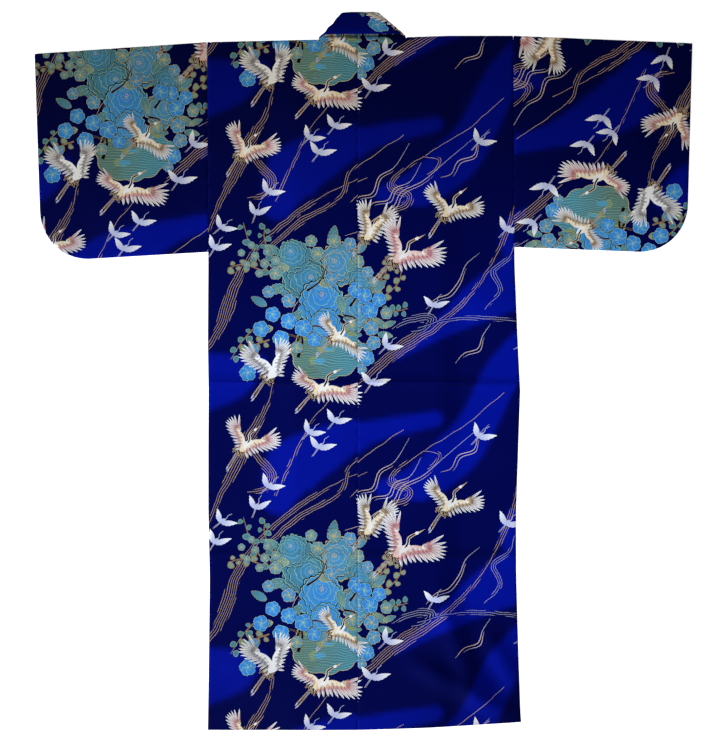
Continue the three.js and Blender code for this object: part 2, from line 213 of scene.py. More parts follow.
def front_under(half, x, y):
    """Underside of a front layer: the left one is on the floor, the right one lies over it."""
    if half.is_low:
        return np.zeros_like(x)
    return (BAND + GAP) * rise(*FRONT_STEP["right"], x) * rise(*FRONT_STEP["crossing"], y)


def back_under(x, y):
    """Underside of the back, over both fronts and the collar bands."""
    over = rise(*BACK_STEP["left"], x) * rise(*BACK_STEP["right"], x)
    below = rise(*BACK_STEP["crossing"], y)
    return CLOTH + GAP + over * (BAND - CLOTH + (BAND + GAP) * below) + relief(x, y, True)


def folded_over(x, along, fold_y, upper_top, lower_bottom, depth):
    """
    Lay cloth back up as far as fold_y, round a fold there and back face down. along runs up the
    upper layer and on over the fold. depth is 0 on the outer face and grows into the wall.
    """
    radius = (upper_top(x, fold_y) - lower_bottom(x, fold_y)) / 2
    past = along - (fold_y - radius)
    arc = np.pi * radius
    turn = np.clip(past / arc, 0, 1)
    angle = np.pi * (0.5 - turn)
    y = np.where(past < 0, along, np.where(
        past > arc, fold_y - radius - (past - arc),
        fold_y - radius + (radius - depth) * np.cos(angle)))
    middle = (upper_top(x, fold_y) + lower_bottom(x, fold_y)) / 2
    z = np.where(past < 0, upper_top(x, y) - depth, np.where(
        past > arc, lower_bottom(x, y) + depth, middle + (radius - depth) * np.sin(angle)))
    return np.stack((x, y, z), axis=-1)


def collar_seam_x(half, y):
    """X of the seam between collar band and front."""
    neck_y = top_edge(half.neck_x)
    share = np.clip((y - COLLAR_END_Y) / (neck_y - COLLAR_END_Y), 0, 1)
    end_x = front_edge_x(half) + half.side * COLLAR_WIDTH
    return half.neck_x + (end_x - half.neck_x) * (1 - share) ** 1.5


def front_edge_x(half):
    return half.okumi_seam_x - half.side * OKUMI_WIDTH


def okumi_point_y(half):
    """Y where the collar seam leaves the front and runs onto the overlap panel."""
    end_x = front_edge_x(half) + half.side * COLLAR_WIDTH
    share = ((half.okumi_seam_x - half.neck_x) / (end_x - half.neck_x)) ** (2 / 3)
    neck_y = top_edge(half.neck_x)
    return neck_y + (COLLAR_END_Y - neck_y) * share


# ---- Motifs of the print -----------------------------------------------------------------------

# A mark is one flat shape of ink, which runs from ink to tip. lines is how many thin lines it
# has across its width, and vein how far they darken it. share is 0 for a solid shape, above 0
# for a stream, as the part of it that is inked, and below 0 for ripples, as how far they wave.
# rule is a matrix that turns places into across and along, or the line that a stream follows.
Mark = namedtuple("Mark", "outline ink tip lines share vein rule")


def heading(angle):
    return np.array((math.cos(angle), math.sin(angle)))


def turned(points, angle, place=(0.0, 0.0)):
    """Points turned about the origin and then moved."""
    c, s = heading(angle)
    return points @ np.array(((c, s), (-s, c))) + place


def round_angles(count):
    """Even angles round a circle."""
    return np.linspace(0, 2 * math.pi, count + 1)[:-1]


def oval(angles, wide, high):
    """Points of an oval at some angles, from its half sizes."""
    return np.stack((wide * np.cos(angles), high * np.sin(angles)), axis=1)


def signed_area(outline):
    x, y = outline[:, 0], outline[:, 1]
    return 0.5 * np.sum(x * np.roll(y, -1) - np.roll(x, -1) * y)


def anticlockwise(points):
    """The outline, turned round if needed. The triangulation takes a clockwise face as a hole."""
    points = np.array(points)
    return points if signed_area(points) > 0 else points[::-1]


def blade(length, width, fullness=0.6, count=7, bend=0.0):
    """Outline of a feather or leaf along +X from the origin."""
    along = np.linspace(0, 1, count)
    half = 0.5 * width * np.sin(np.pi * along**fullness) ** 0.7
    curve = bend * length * along**2
    upper = np.stack((along * length, curve + half), axis=1)
    lower = np.stack((along * length, curve - half), axis=1)[-2:0:-1]
    return np.concatenate((upper, lower))


def ribbon(points, widths):
    """Outline of a strip along a line of points."""
    points = np.asarray(points, dtype=float)
    way = np.gradient(points, axis=0)
    way /= np.maximum(np.linalg.norm(way, axis=1), 1e-9)[:, None]
    side = np.stack((-way[:, 1], way[:, 0]), axis=1) * (np.asarray(widths) / 2)[:, None]
    return np.concatenate((points + side, (points - side)[::-1]))


def smooth_line(points, count):
    """A smooth curve through a few points."""
    points = np.asarray(points, dtype=float)
    ends = np.concatenate(([2 * points[0] - points[1]], points, [2 * points[-1] - points[-2]]))
    places = np.linspace(0, len(points) - 1, count)
    found = []
    for place in places:
        k = min(int(place), len(points) - 2)
        t = place - k
        a, b, c, d = ends[k:k + 4]
        found.append(0.5 * (2 * b + (c - a) * t + (2 * a - 5 * b + 4 * c - d) * t**2
                            + (3 * b - a - 3 * c + d) * t**3))
    return np.array(found)


class Pen:
    """Collects marks, each drawn over those before it, through a place, turn and size."""

    def __init__(self):
        self.marks = []
        self.turned = np.eye(2)
        self.moved = np.zeros(2)

    def at(self, place, angle=0.0, size=1.0):
        """Draw from here on at this place, turned and sized."""
        c, s = heading(angle) * size
        self.turned = np.array(((c, -s), (s, c)))
        self.moved = np.asarray(place, dtype=float)

    def shape(self, outline, ink, tip=None, start=(0, 0), end=(1, 0), width=1.0, lines=0.0,
              share=0.0, vein=0.0, angle=0.0):
        """A shape whose ink runs from its start to its end, in the pen's own units."""
        start, end, drawn = (turned(np.atleast_2d(p), angle) @ self.turned.T + self.moved
                             for p in (start, end, outline))
        start, way = start[0], (end - start)[0]
        length = max(np.linalg.norm(way), 1e-6)
        way = way / length
        unit = math.sqrt(abs(np.linalg.det(self.turned)))
        across = np.array((-way[1], way[0])) / (width * unit)
        rule = np.array(((across[0], across[1], -across @ start),
                         (way[0] / length, way[1] / length, -(way @ start) / length)))
        self.marks.append(
            Mark(anticlockwise(drawn), INK[ink], INK[tip or ink], lines, share, vein, rule))

    def line(self, points, widths, ink, tip=None):
        """A thin drawn line."""
        points = np.asarray(points, dtype=float)
        self.shape(ribbon(points, widths), ink, tip, start=points[0], end=points[-1])

    def stream(self, points, widths, ink, between, share, cover):
        """A strip of fine parallel lines that flow with it, and the thinner ink between them."""
        path = np.asarray(points, dtype=float) @ self.turned.T + self.moved
        drawn = anticlockwise(ribbon(path, widths))
        self.marks.append(Mark(drawn, INK[ink], INK[between], 0.0, share, cover, path))


def draw_wing(pen, root, angle, reach, side, tones):
    """A wing: long tip feathers, shorter inner ones, two rows of coverts and a pale arm."""
    shade, light, tip = tones
    way = heading(angle)
    lead = np.array((way[1], -way[0])) * side
    arm = smooth_line((root, root + way * reach * 0.28 + lead * reach * 0.10,
                       root + way * reach * 0.50 + lead * reach * 0.08), 24)
    for row, near, far, ink, end_ink, wide in (
        (13, 0.33, 0.56, shade, tip, 0.072),
        (11, 0.19, 0.24, light, shade, 0.085),
        (8, 0.11, 0.12, tip, light, 0.095),
    ):
        for k in range(row, -1, -1):
            t = k / row
            start = arm[int(round(23 * min(1.0, t * 1.6)))]
            turn = angle + side * math.radians(110 * (1 - t) ** 0.72 - 18)
            length = reach * (near + (far - near) * rise(0.1, 0.6, t))
            feather = turned(blade(length, reach * wide, 1.05, 9, bend=-0.12 * side), turn, start)
            pen.shape(feather, ink, end_ink, start=start, end=start + length * heading(turn),
                      width=reach * wide * 0.9, lines=1, vein=0.5)
    pen.line(arm, np.linspace(0.09, 0.04, 24) * reach, tip, light)


def draw_crane(pen, place, size, angle, tones, wings):
    """A crane in flight: legs, dark curled tail, far wing, body, neck and near wing."""
    pen.at(place, angle, size)
    for k in (0, 1):
        knee = np.array((-0.12, -0.10 + 0.035 * k))
        foot = knee + 0.30 * heading(math.radians(233))
        leg = smooth_line(((-0.03, -0.03), knee, foot - (0.015 * k, -0.015 * k)), 8)
        pen.line(leg, np.linspace(0.020, 0.017, 8), "silver", "tan")
        pen.line(leg[2:], np.full(6, 0.006), "black")
        toe = turned(blade(0.085, 0.026, 0.8, 5), math.radians(222 + 14 * k), leg[-1])
        pen.shape(toe, "silver", "smoke")
    for k in range(11):
        turn = math.radians(176 + 10.5 * k)
        curl = (0.045 if k % 2 else -0.03) * np.array((-math.sin(turn), math.cos(turn)))
        start = np.array((-0.05, -0.005))
        end = start + heading(turn) * (0.13 + 0.025 * (k % 3))
        plume = smooth_line((start, (start + end) / 2 + curl, end - curl * 0.4), 7)
        pen.line(plume, np.linspace(0.046, 0.020, 7), "gold", "tan")
        pen.line(plume, np.linspace(0.036, 0.010, 7), "black")
    (far, far_reach), (near, near_reach) = WING_SHAPES[wings]
    draw_wing(pen, np.array((0.0, 0.02)), math.radians(far), far_reach, 1, tones)
    body = turned(blade(0.30, 0.13, 0.85, 9), math.radians(38), (-0.09, -0.07))
    pen.shape(body, tones[1], tones[2], start=(-0.09, -0.07), end=(0.14, 0.11))
    neck = smooth_line(
        ((0.06, 0.04), (0.105, 0.13), (0.115, 0.21), (0.18, 0.26), (0.22, 0.285)), 14)
    pen.line(neck, np.linspace(0.052, 0.034, 14), tones[2], "tan")
    pen.line(neck, np.linspace(0.026, 0.018, 14), "black", "umber")
    head = neck[-1]
    skull = blade(0.075, 0.044, 0.7, 7) @ np.array(((0.87, 0.5), (-0.5, 0.87)))
    pen.shape(skull + head - (0.02, 0.012), tones[2], "tan", start=head, end=head + (0.06, 0.03))
    beak = (head + (0.03, 0.024), head + (0.125, 0.074), head + (0.042, 0.006))
    pen.shape(np.array(beak), "tan")
    draw_wing(pen, np.array((0.0, 0.0)), math.radians(near), near_reach, -1, tones)


def draw_small_crane(pen, place, size, angle, lift):
    """A far crane, one pale silhouette with hair-thin neck and legs."""
    pen.at(place, angle, size)
    for wing, reach, side in ((lift, 0.50, 1), (2, 0.62, -1)):
        outline = [(-0.04, -0.02 * side)]
        for t in np.linspace(0.1, 1, 6):
            outline.append((reach * t, -side * 0.05 * math.sin(math.pi * t)))
        for k, t in enumerate(np.linspace(0.93, 0.0, 10)):
            notch = 0.016 if k % 2 else 0.0
            chord = 0.21 * (1 - t) ** 0.6 * (0.62 + 0.5 * math.sin(math.pi * t))
            outline.append((reach * t, side * (chord - notch)))
        pen.shape(np.array(outline), "lavender", "white", angle=math.radians(wing), end=(reach, 0))
    body = turned(blade(0.30, 0.15, 0.8, 7), math.radians(40), (-0.10, -0.09))
    pen.shape(body, "lavender")
    pen.line(smooth_line(((0.10, 0.05), (0.17, 0.15), (0.20, 0.24), (0.34, 0.33)), 9),
             np.linspace(0.026, 0.014, 9), "silver", "lavender")
    for k in (0, 1):
        pen.line(((-0.06 + 0.04 * k, -0.06), (-0.30 + 0.04 * k, -0.34)), (0.020, 0.012), "silver")


def draw_blossom(pen, place, size, turn, inks):
    """A plum blossom: five round petals, a dark eye and its stamens."""
    rim, fill, heart = inks
    pen.at(place, turn, size)
    angles = round_angles(30)
    reach = 0.50 + 0.09 * np.abs(np.cos(2.5 * angles))
    pen.shape(oval(angles, reach, reach), "black")
    angles = round_angles(17)
    for k in range(5):
        a = 2 * math.pi * k / 5
        ruffle = 1 + 0.09 * np.sin(7 * angles + k)
        petal = oval(angles, 0.25 * ruffle, 0.27 * ruffle) + (0.27, 0)
        pen.shape((petal - (0.27, 0)) * 1.10 + (0.27, 0), rim, angle=a)
        pen.shape(petal, fill, heart, start=(0.52, 0), end=(0.0, 0), width=0.27, lines=5,
                  vein=0.10, angle=a)
    for k in range(15):
        way = heading(2 * math.pi * k / 15)
        tip = way * (0.20 if k % 2 else 0.26)
        pen.line((0.02 * way, tip), (0.012, 0.012), rim)
        pen.shape(oval(round_angles(5), 0.022, 0.022) + tip, rim)


def draw_peony(pen, place, size, turn, inks, draw):
    """A peony: rings of ruffled petals, each edged, closing on a golden heart."""
    rim, fill, deep = inks
    heart = heading(turn) * 0.16
    for ring, (count, reach, spread) in enumerate(
            ((9, 0.52, 0.46), (8, 0.42, 0.50), (7, 0.31, 0.56), (6, 0.21, 0.66), (4, 0.12, 0.9))):
        pen.at(np.asarray(place) + heart * size * (0.52 - reach) / 0.4, turn, size)
        for k in range(count):
            a = 2 * math.pi * (k + 0.5 * (ring % 2)) / count + draw.uniform(-0.1, 0.1)
            angles = np.linspace(-spread, spread, 13)
            phase = draw.uniform(0, 6)
            edge = reach * (1 - 0.26 * (angles / spread) ** 4
                            + 0.045 * np.sin(angles * 15 / spread / 2 + phase))
            edge *= draw.uniform(0.92, 1.06)
            outline = np.concatenate((oval(angles, edge, edge), [(0.02, 0.0)]))
            if ring < 2:
                pen.shape(outline * 1.07 + (0.008, 0), "black", angle=a)
            pen.shape(outline * 1.028 + (0.003, 0), rim, angle=a)
            pen.shape(outline, deep, fill, start=(reach * 0.35, 0), end=(reach, 0),
                      width=reach * spread, lines=4, vein=0.14, angle=a)
    for k in range(14):
        spot = oval(round_angles(5), 0.014, 0.014) + heading(2.4 * k) * 0.0192 * math.sqrt(k)
        pen.shape(spot, "gold" if k % 3 else "olive")


def draw_leaf(pen, place, size, turn, inks):
    """A toothed leaf with its midrib and side veins."""
    rim, fill, deep = inks
    pen.at(place, turn, size)
    outline = blade(1.0, 0.46, 0.85, 15)
    teeth = 1 + 0.07 * np.where(np.arange(len(outline)) % 2, 1, -1)
    outline = np.stack((outline[:, 0], outline[:, 1] * teeth), axis=1)
    pen.shape((outline - (0.5, 0)) * 1.06 + (0.5, 0), rim)
    pen.shape(outline, fill, deep, end=(1, 0), width=0.3, lines=5, vein=0.10)
    pen.line(((0.02, 0), (0.95, 0)), (0.022, 0.008), rim)
    for k in range(1, 6):
        for side in (-1, 1):
            x = 0.14 * k
            pen.line(((x, 0), (x + 0.13, side * 0.17)), (0.014, 0.006), rim)


def draw_twig(pen, points, draw, inks):
    """A twig with round buds along both sides."""
    wood, rim, fill = inks
    pen.at((0, 0))
    curve = smooth_line(points, 16)
    pen.line(curve, np.linspace(3.2, 1.2, 16), wood)
    for k in range(2, 16, 2):
        side = 1 if k % 4 else -1
        way = curve[k] - curve[k - 1]
        off = np.array((-way[1], way[0])) / np.linalg.norm(way) * side
        bud = curve[k] + off * draw.uniform(5, 9)
        pen.line((curve[k], bud), (1.2, 0.8), wood)
        pen.at(bud, draw.uniform(0, 6), draw.uniform(9, 15))
        angles = round_angles(12)
        round_bud = oval(angles, 0.55, 0.46) * (1 + 0.10 * np.sin(3 * angles))[:, None]
        pen.shape(round_bud, rim)
        pen.shape(round_bud * 0.74, fill)
        pen.at((0, 0))


def draw_branch(pen, points, width):
    """A bare dark branch between the flowers."""
    pen.at((0, 0))
    curve = smooth_line(points, 18)
    pen.line(curve, np.linspace(width + 1.2, 1.8, 18), "dark_gold")
    pen.line(curve, np.linspace(width, 0.8, 18), "black")


def draw_pool(pen, place, size, draw):
    """A cloud-edged pool of fine level ripples."""
    pen.at(place)
    angles = round_angles(72)
    lobes = 1 + 0.09 * np.abs(np.sin(angles * 5.5 + 0.4)) + 0.06 * np.sin(2 * angles + 1)
    outline = oval(angles, size[0] * lobes, size[1] * lobes)
    pen.shape(outline * 1.015, "gold")
    pen.shape(outline, "pond", "teal", start=(-size[0], 0), end=(size[0], 0), width=4.6, lines=1,
              vein=-0.9, share=-0.9)
    angles = angles[::4]
    for k in range(11):
        spot = np.array([draw.uniform(-0.7, 0.7) * half for half in size])
        reach = (draw.uniform(0.14, 0.34) * size[0], draw.uniform(0.10, 0.22) * size[1])
        patch = oval(angles, *reach) * (1 + 0.12 * np.sin(5 * angles + k))[:, None] + spot
        pen.shape(patch, ("moss", "aqua", "pond")[k % 3], "teal", start=spot,
                  end=spot + (40, 0), width=4.4, lines=1, vein=-0.7, share=-0.9)


# ---- Layout of the print -----------------------------------------------------------------------

PERIOD = (770.0, 603.0)  # across and along the cloth; every other column is half a period lower
STREAM_STEP = 4.4  # from one line of a stream to the next
LEAVES_BELOW = 12  # how many of the leaves lie below the peonies

# Angle and reach of the far and of the near wing.
WING_SHAPES = {
    "rising": ((142, 0.56), (66, 0.50)),
    "level": ((154, 0.46), (-4, 0.66)),
    "spread": ((110, 0.54), (8, 0.64)),
    "sweeping": ((98, 0.56), (38, 0.60)),
    "gliding": ((126, 0.50), (2, 0.56)),
    "stooping": ((132, 0.46), (-26, 0.58)),
}
TONES = {
    "grey": ("smoke", "white", "white"),
    "pink": ("pink", "rose", "white"),
    "fawn": ("fawn", "cream", "white"),
    "blush": ("pink", "cream", "white"),
}
# Large cranes: x, y, size, angle, tones, wings.
CRANES = (
    (-186, -8, 139, 4, "grey", "rising"),
    (-92, -42, 132, -3, "blush", "level"),
    (-246, -160, 116, 6, "blush", "spread"),
    (14, 282, 122, 6, "fawn", "sweeping"),
    (76, 236, 144, -4, "pink", "spread"),
    (176, 330, 128, 6, "fawn", "gliding"),
    (-56, 66, 114, -4, "fawn", "stooping"),
)
# Small cranes: x, y, width, angle, lift of the raised wing.
SMALL_CRANES = (
    (-60, -104, 56, 2, 124), (-112, -128, 54, -4, 112), (-92, -158, 58, 4, 128),
    (-196, -238, 56, -4, 118), (-222, -282, 54, 20, 100), (240, -128, 58, -2, 112),
    (146, 140, 54, 10, 130), (50, 56, 56, -4, 98), (20, -18, 62, 6, 132),
    (296, 296, 58, -2, 122), (-292, 292, 54, -10, 120), (-306, 250, 56, 8, 104),
    (330, 60, 52, -20, 118),
)
# Streams of fine lines: points, widths, ink of the lines, ink between, share, cover between.
STREAMS = (
    (((-330, -350), (-300, -270), (-262, -196), (-236, -140), (-196, -66), (-180, 16), (-154, 60)),
     (4, 10, 27, 29, 8, 4, 4), "tan", "brown", 0.17, 0.08),
    (((-246, -146), (-214, -186), (-190, -216), (-204, -246), (-240, -252)),
     (4, 17, 22, 15, 4), "tan", "brown", 0.18, 0.10),
    (((-352, 10), (-306, 66), (-282, 120), (-262, 180), (-218, 250), (-140, 318), (-70, 362),
      (10, 400)), (4, 17, 30, 22, 8, 15, 5, 4), "tan", "brown", 0.17, 0.08),
    (((-182, -260), (-150, -190), (-110, -110), (-70, -60)), (7, 8, 6, 4), "tan", "plum",
     0.18, 0.05),
    (((-190, -350), (-130, -300), (-62, -262), (-40, -236), (-30, -200), (20, -160), (84, -116)),
     (10, 17, 8, 11, 8, 4, 4), "tan", "brown", 0.18, 0.05),
    (((20, -300), (52, -272), (86, -262), (96, -240), (60, -222), (74, -196), (140, -150),
      (214, -104), (290, -40)), (4, 8, 18, 15, 20, 8, 5, 4, 4), "tan", "plum", 0.18, 0.0),
    (((126, -160), (156, -166), (150, -184), (132, -196)), (4, 8, 9, 4), "tan", "plum", 0.18, 0.0),
    (((-10, -24), (40, 20), (86, 56), (150, 96), (212, 150), (262, 220), (300, 300), (318, 380)),
     (4, 22, 30, 20, 9, 7, 12, 4), "tan", "brown", 0.18, 0.10),
    (((60, 90), (96, 108), (140, 112), (128, 92), (100, 84)), (4, 15, 22, 13, 4), "silver", "plum",
     0.18, 0.0),
    (((112, 92), (180, 110), (250, 112), (330, 104), (420, 84)), (4, 8, 10, 8, 4), "silver", "plum",
     0.18, 0.05),
    (((250, 130), (282, 170), (268, 210), (300, 236), (312, 270)), (4, 10, 14, 8, 4), "silver",
     "plum", 0.18, 0.0),
)
# Hair lines, each with a shorter one beside it: points.
HAIR_LINES = (
    ((-40, -330), (-6, -318), (22, -290), (62, -264), (80, -232), (124, -210), (168, -172),
     (230, -120)),
    ((130, 130), (150, 152), (176, 162), (198, 190), (212, 222), (240, 246)),
    ((190, 20), (208, 40), (236, 50), (246, 76), (262, 100)),
    ((10, 330), (22, 348), (52, 354), (66, 378), (98, 392), (120, 430)),
    ((-150, 110), (-138, 136), (-112, 156), (-104, 190), (-84, 214), (-60, 260)),
    ((160, 400), (182, 408), (196, 434), (228, 446), (238, 476), (262, 500)),
    ((-30, 340), (-8, 360), (20, 368), (34, 402), (66, 422), (96, 470)),
)
# Peonies: x, y, size, inks.
PEONIES = (
    (-49, 214, 88, 1), (-123, 186, 81, 2), (-88, 138, 88, 0), (-15, 122, 68, 1), (-145, 232, 66, 2),
    (-80, 92, 61, 0), (-6, 186, 57, 2),
)
# Round blossoms: x, y, size, inks.
BLOSSOMS = (
    (-212, 82, 31, 0), (-188, 112, 29, 0), (-171, 62, 32, 0), (-155, 98, 31, 0), (-125, 84, 34, 0),
    (-239, -8, 32, 0), (-103, 60, 27, 0), (3, 158, 31, 0), (15, 128, 32, 0), (-17, 162, 31, 0),
    (18, 92, 29, 1), (34, 150, 27, 0), (49, 122, 23, 3), (23, 62, 27, 1), (9, 30, 29, 0),
    (-18, 36, 27, 1), (-155, 140, 27, 1), (-62, 262, 27, 3), (-30, 256, 25, 1), (-11, 228, 27, 3),
    (-182, 196, 25, 3), (-197, 158, 23, 1), (-96, 236, 27, 3), (10, 206, 23, 1), (-68, 184, 25, 1),
    (-25, 90, 25, 3), (-228, 40, 22, 1), (-138, 44, 23, 3), (23, 186, 20, 3), (-109, 262, 23, 3),
    (-2, 8, 20, 1), (-43, 64, 23, 1), (-204, 216, 18, 3), (-224, 232, 16, 3), (-215, 196, 16, 3),
    (-241, 214, 14, 3), (-199, 240, 16, 3), (-182, 222, 18, 3), (-232, 254, 14, 3),
    (-252, 238, 14, 3),
)
# Leaves: x, y, length, turn, inks.
LEAVES = (
    (-24, 150, 44, 30, 0), (-136, 150, 46, 160, 1), (-68, 250, 44, 80, 1), (6, 170, 39, 10, 0),
    (-164, 170, 42, 200, 2), (-99, 100, 40, -60, 0), (-39, 90, 39, -20, 1), (-173, 236, 35, 150, 2),
    (-9, 246, 37, 60, 1), (20, 110, 35, -30, 0), (-118, 214, 40, 110, 2), (-68, 110, 39, 240, 1),
    (-188, 84, 35, 190, 0), (-201, 130, 35, 150, 1), (25, 170, 30, 40, 1), (-34, 200, 40, 60, 2),
    (-91, 172, 40, 20, 0), (-2, 60, 35, -50, 1), (-129, 120, 37, 230, 2), (-54, 150, 35, -70, 2),
    (32, 80, 30, -10, 2), (-155, 206, 39, 170, 0), (-76, 60, 39, 200, 1), (43, 96, 26, 20, 0),
)
TWIGS = (
    ((28, 150), (53, 164), (74, 186), (80, 212)), ((38, 128), (66, 126), (93, 132)),
    ((20, 178), (44, 198), (53, 228)), ((-188, 190), (-215, 222), (-237, 262), (-248, 300)),
    ((-204, 200), (-248, 214), (-280, 206)), ((-219, 90), (-248, 60), (-274, 20)),
    ((-195, 60), (-228, 48), (-254, 30)), ((-182, 220), (-204, 262), (-204, 296)),
)
BRANCHES = (
    (((-145, 40), (-125, 78), (-96, 88), (-68, 70)), 5), (((-30, 128), (-17, 150), (-21, 186)), 5),
    (((-188, 62), (-155, 70), (-127, 60)), 4), (((-42, 110), (-19, 104), (-9, 80)), 4),
    (((-118, 160), (-91, 180), (-76, 214)), 4), (((-136, 24), (-127, 60), (-142, 84)), 7),
)
# Blue haze over the ground: points of each stroke, widths, softness of its edge.
HAZES = (
    (((-178, -262), (-150, -206), (-84, -164), (20, -120), (150, -94)), (70, 118, 96, 44, 30), 16),
    (((44, -236), (120, -222), (196, -160), (240, -96), (286, 0), (346, 70)),
     (36, 80, 92, 76, 74, 66), 15),
    (((-420, -30), (-330, -26), (-262, -12), (-214, 14)), (136, 120, 88, 26), 18),
    (((70, 34), (150, 84), (240, 146), (340, 200)), (12, 34, 84, 120), 14),
)
LEAF_INKS = (("gold", "sage", "teal"), ("olive", "aqua", "teal"), ("pale_aqua", "teal", "sage"))
BLOSSOM_INKS = (("pale_aqua", "azure", "sky"), ("gold", "sky", "aqua"),
                ("pale_sky", "azure", "sky"), ("gold", "aqua", "sage"))
PEONY_INKS = (("pale_aqua", "sky", "azure"), ("gold", "aqua", "sky"), ("pale_aqua", "teal", "sky"))
TWIG_INKS = (("dark_gold", "dark_gold", "sage"), ("dark_gold", "sage", "teal"))


def swelling(least, more, count):
    """Widths of a line that swells in the middle."""
    return least + more * np.sin(np.linspace(0, math.pi, count))


def draw_leaves(pen, leaves):
    for x, y, size, turn, inks in leaves:
        draw_leaf(pen, (x, y), size, math.radians(turn), LEAF_INKS[inks])


def print_unit():
    """The marks of one period of the print, each drawn over those before it."""
    draw = random.Random(11)
    pen = Pen()
    for points, widths, ink, between, share, cover in STREAMS:
        wide = np.interp(np.linspace(0, len(widths) - 1, 56), np.arange(len(widths)), widths)
        pen.stream(smooth_line(points, 56), wide, ink, between, share, cover)
    for points in HAIR_LINES:
        path = smooth_line(points, 24)
        pen.line(path, swelling(0.5, 1.0, 24), "tan", "silver")
        beside = np.column_stack((4.0 + 1.5 * np.sin(np.arange(15) / 3), np.full(15, -4.5)))
        pen.line(path[4:19] + beside, swelling(0.4, 0.9, 15), "silver", "tan")
    draw_pool(pen, (-74, 38), (68, 58), draw)
    for k, points in enumerate(TWIGS):
        draw_twig(pen, points, draw, TWIG_INKS[k % 2])
    draw_leaves(pen, LEAVES[:LEAVES_BELOW])
    for x, y, size, inks in PEONIES:
        draw_peony(pen, (x, y), size, draw.uniform(0, 6), PEONY_INKS[inks], draw)
    draw_leaves(pen, LEAVES[LEAVES_BELOW:])
    for points, width in BRANCHES:
        draw_branch(pen, points, width)
    for x, y, size, inks in BLOSSOMS:
        draw_blossom(pen, (x, y), size, draw.uniform(0, 6), BLOSSOM_INKS[inks])
    for x, y, size, turn, lift in SMALL_CRANES:
        draw_small_crane(pen, (x, y), size, math.radians(turn), lift)
    for x, y, size, turn, tones, wings in CRANES:
        draw_crane(pen, (x, y), size, math.radians(turn), TONES[tones], wings)
    return pen.marks


UNIT = print_unit()
UNIT_BOX = (
    np.min([mark.outline.min(axis=0) for mark in UNIT], axis=0),
    np.max([mark.outline.max(axis=0) for mark in UNIT], axis=0),
)


# ---- Print on the cloth ------------------------------------------------------------------------

# How far the borders of the print are thinned out.
SHORT_EDGE, SHORT_PASSES = 0.5, 6
BEND_SLACK, BEND_PASSES, LONGEST_EDGE = 0.12, 6, 14.0


def period_offsets():
    """Shifts of every period of the print that can reach a piece."""
    for column in range(-4, 5):
        for row in range(-9, 10):
            yield np.array((column * PERIOD[0], (row - 0.5 * (column % 2)) * PERIOD[1]))


def repeats(low, high):
    """Shifts of the periods of the print that reach into a box."""
    return [offset for offset in period_offsets()
            if np.all(UNIT_BOX[0] + offset < high) and np.all(UNIT_BOX[1] + offset > low)]


@functools.lru_cache
def shown_regions():
    """One period cut into the regions that show: places, borders, a tree and the top marks."""
    low, high = UNIT_BOX[0] - 1, UNIT_BOX[1] + 1
    box = np.array(((low[0], low[1]), (high[0], low[1]), (high[0], high[1]), (low[0], high[1])))
    corners, edges, count = [], [], 0
    for mark in UNIT:
        numbers = np.arange(len(mark.outline)) + count
        edges.append(np.column_stack((numbers, np.roll(numbers, -1))))
        corners.append(mark.outline)
        count += len(numbers)
    places, triangles = triangulate(box, np.concatenate(corners), np.concatenate(edges))
    top = top_marks(places[triangles].mean(axis=1))
    starts = triangles.ravel()
    ends = np.roll(triangles, -1, axis=1).ravel()
    owner = np.repeat(top, 3)
    keys, opposite = starts * len(places) + ends, ends * len(places) + starts
    order = np.argsort(keys)
    found = np.clip(np.searchsorted(keys[order], opposite), 0, len(keys) - 1)
    across = np.where(keys[order][found] == opposite, owner[order][found], owner)
    border = (across != owner) & (starts < ends)
    tree = BVHTree.FromPolygons(np.column_stack((places, np.zeros(len(places)))).tolist(),
                                triangles.tolist())
    return places, thinned(places, np.column_stack((starts[border], ends[border]))), tree, top


def two_neighbours(edges, count):
    """Which of count vertices have just two edges, and the vertices at their other ends."""
    owner = np.concatenate((edges[:, 0], edges[:, 1]))
    other = np.concatenate((edges[:, 1], edges[:, 0]))
    order = np.argsort(owner, kind="stable")
    degree = np.bincount(owner, minlength=count)
    first = np.concatenate(([0], np.cumsum(degree)[:-1]))
    paired = np.flatnonzero(degree == 2)
    ends = np.full((count, 2), -1)
    ends[paired, 0] = other[order[first[paired]]]
    ends[paired, 1] = other[order[first[paired] + 1]]
    return degree == 2, ends


def without_repeats(edges):
    edges = np.sort(edges[edges[:, 0] != edges[:, 1]], axis=1)
    return np.unique(edges, axis=0)


def thinned(places, edges):
    """The borders without short edges, and without vertices where a line hardly bends."""
    rank = np.random.default_rng(5).permutation(len(places))
    for _ in range(SHORT_PASSES):
        ends = places[edges]
        short = np.linalg.norm(ends[:, 1] - ends[:, 0], axis=1) < SHORT_EDGE
        chosen = edges[short]
        numbers = np.arange(len(chosen))
        first = np.full(len(places), len(chosen))
        np.minimum.at(first, chosen.ravel(), np.repeat(numbers, 2))
        free = np.all(first[chosen] == numbers[:, None], axis=1)
        into = np.arange(len(places))
        into[chosen[free, 0]] = chosen[free, 1]
        edges = without_repeats(into[edges])
    for _ in range(BEND_PASSES):
        paired, ends = two_neighbours(edges, len(places))
        a, b = places[ends[:, 0]], places[ends[:, 1]]
        way, rel = b - a, places - a
        length = np.maximum(np.linalg.norm(way, axis=1), 1e-9)
        off = np.abs(way[:, 0] * rel[:, 1] - way[:, 1] * rel[:, 0]) / length
        plain = paired & (off < BEND_SLACK) & (length < LONGEST_EDGE) & (ends[:, 0] != ends[:, 1])
        ahead = np.where(plain, rank, len(rank))
        gone = plain & (rank < ahead[ends[:, 0]]) & (rank < ahead[ends[:, 1]])
        kept = edges[~(gone[edges[:, 0]] | gone[edges[:, 1]])]
        edges = without_repeats(np.concatenate((kept, ends[gone])))
    return edges


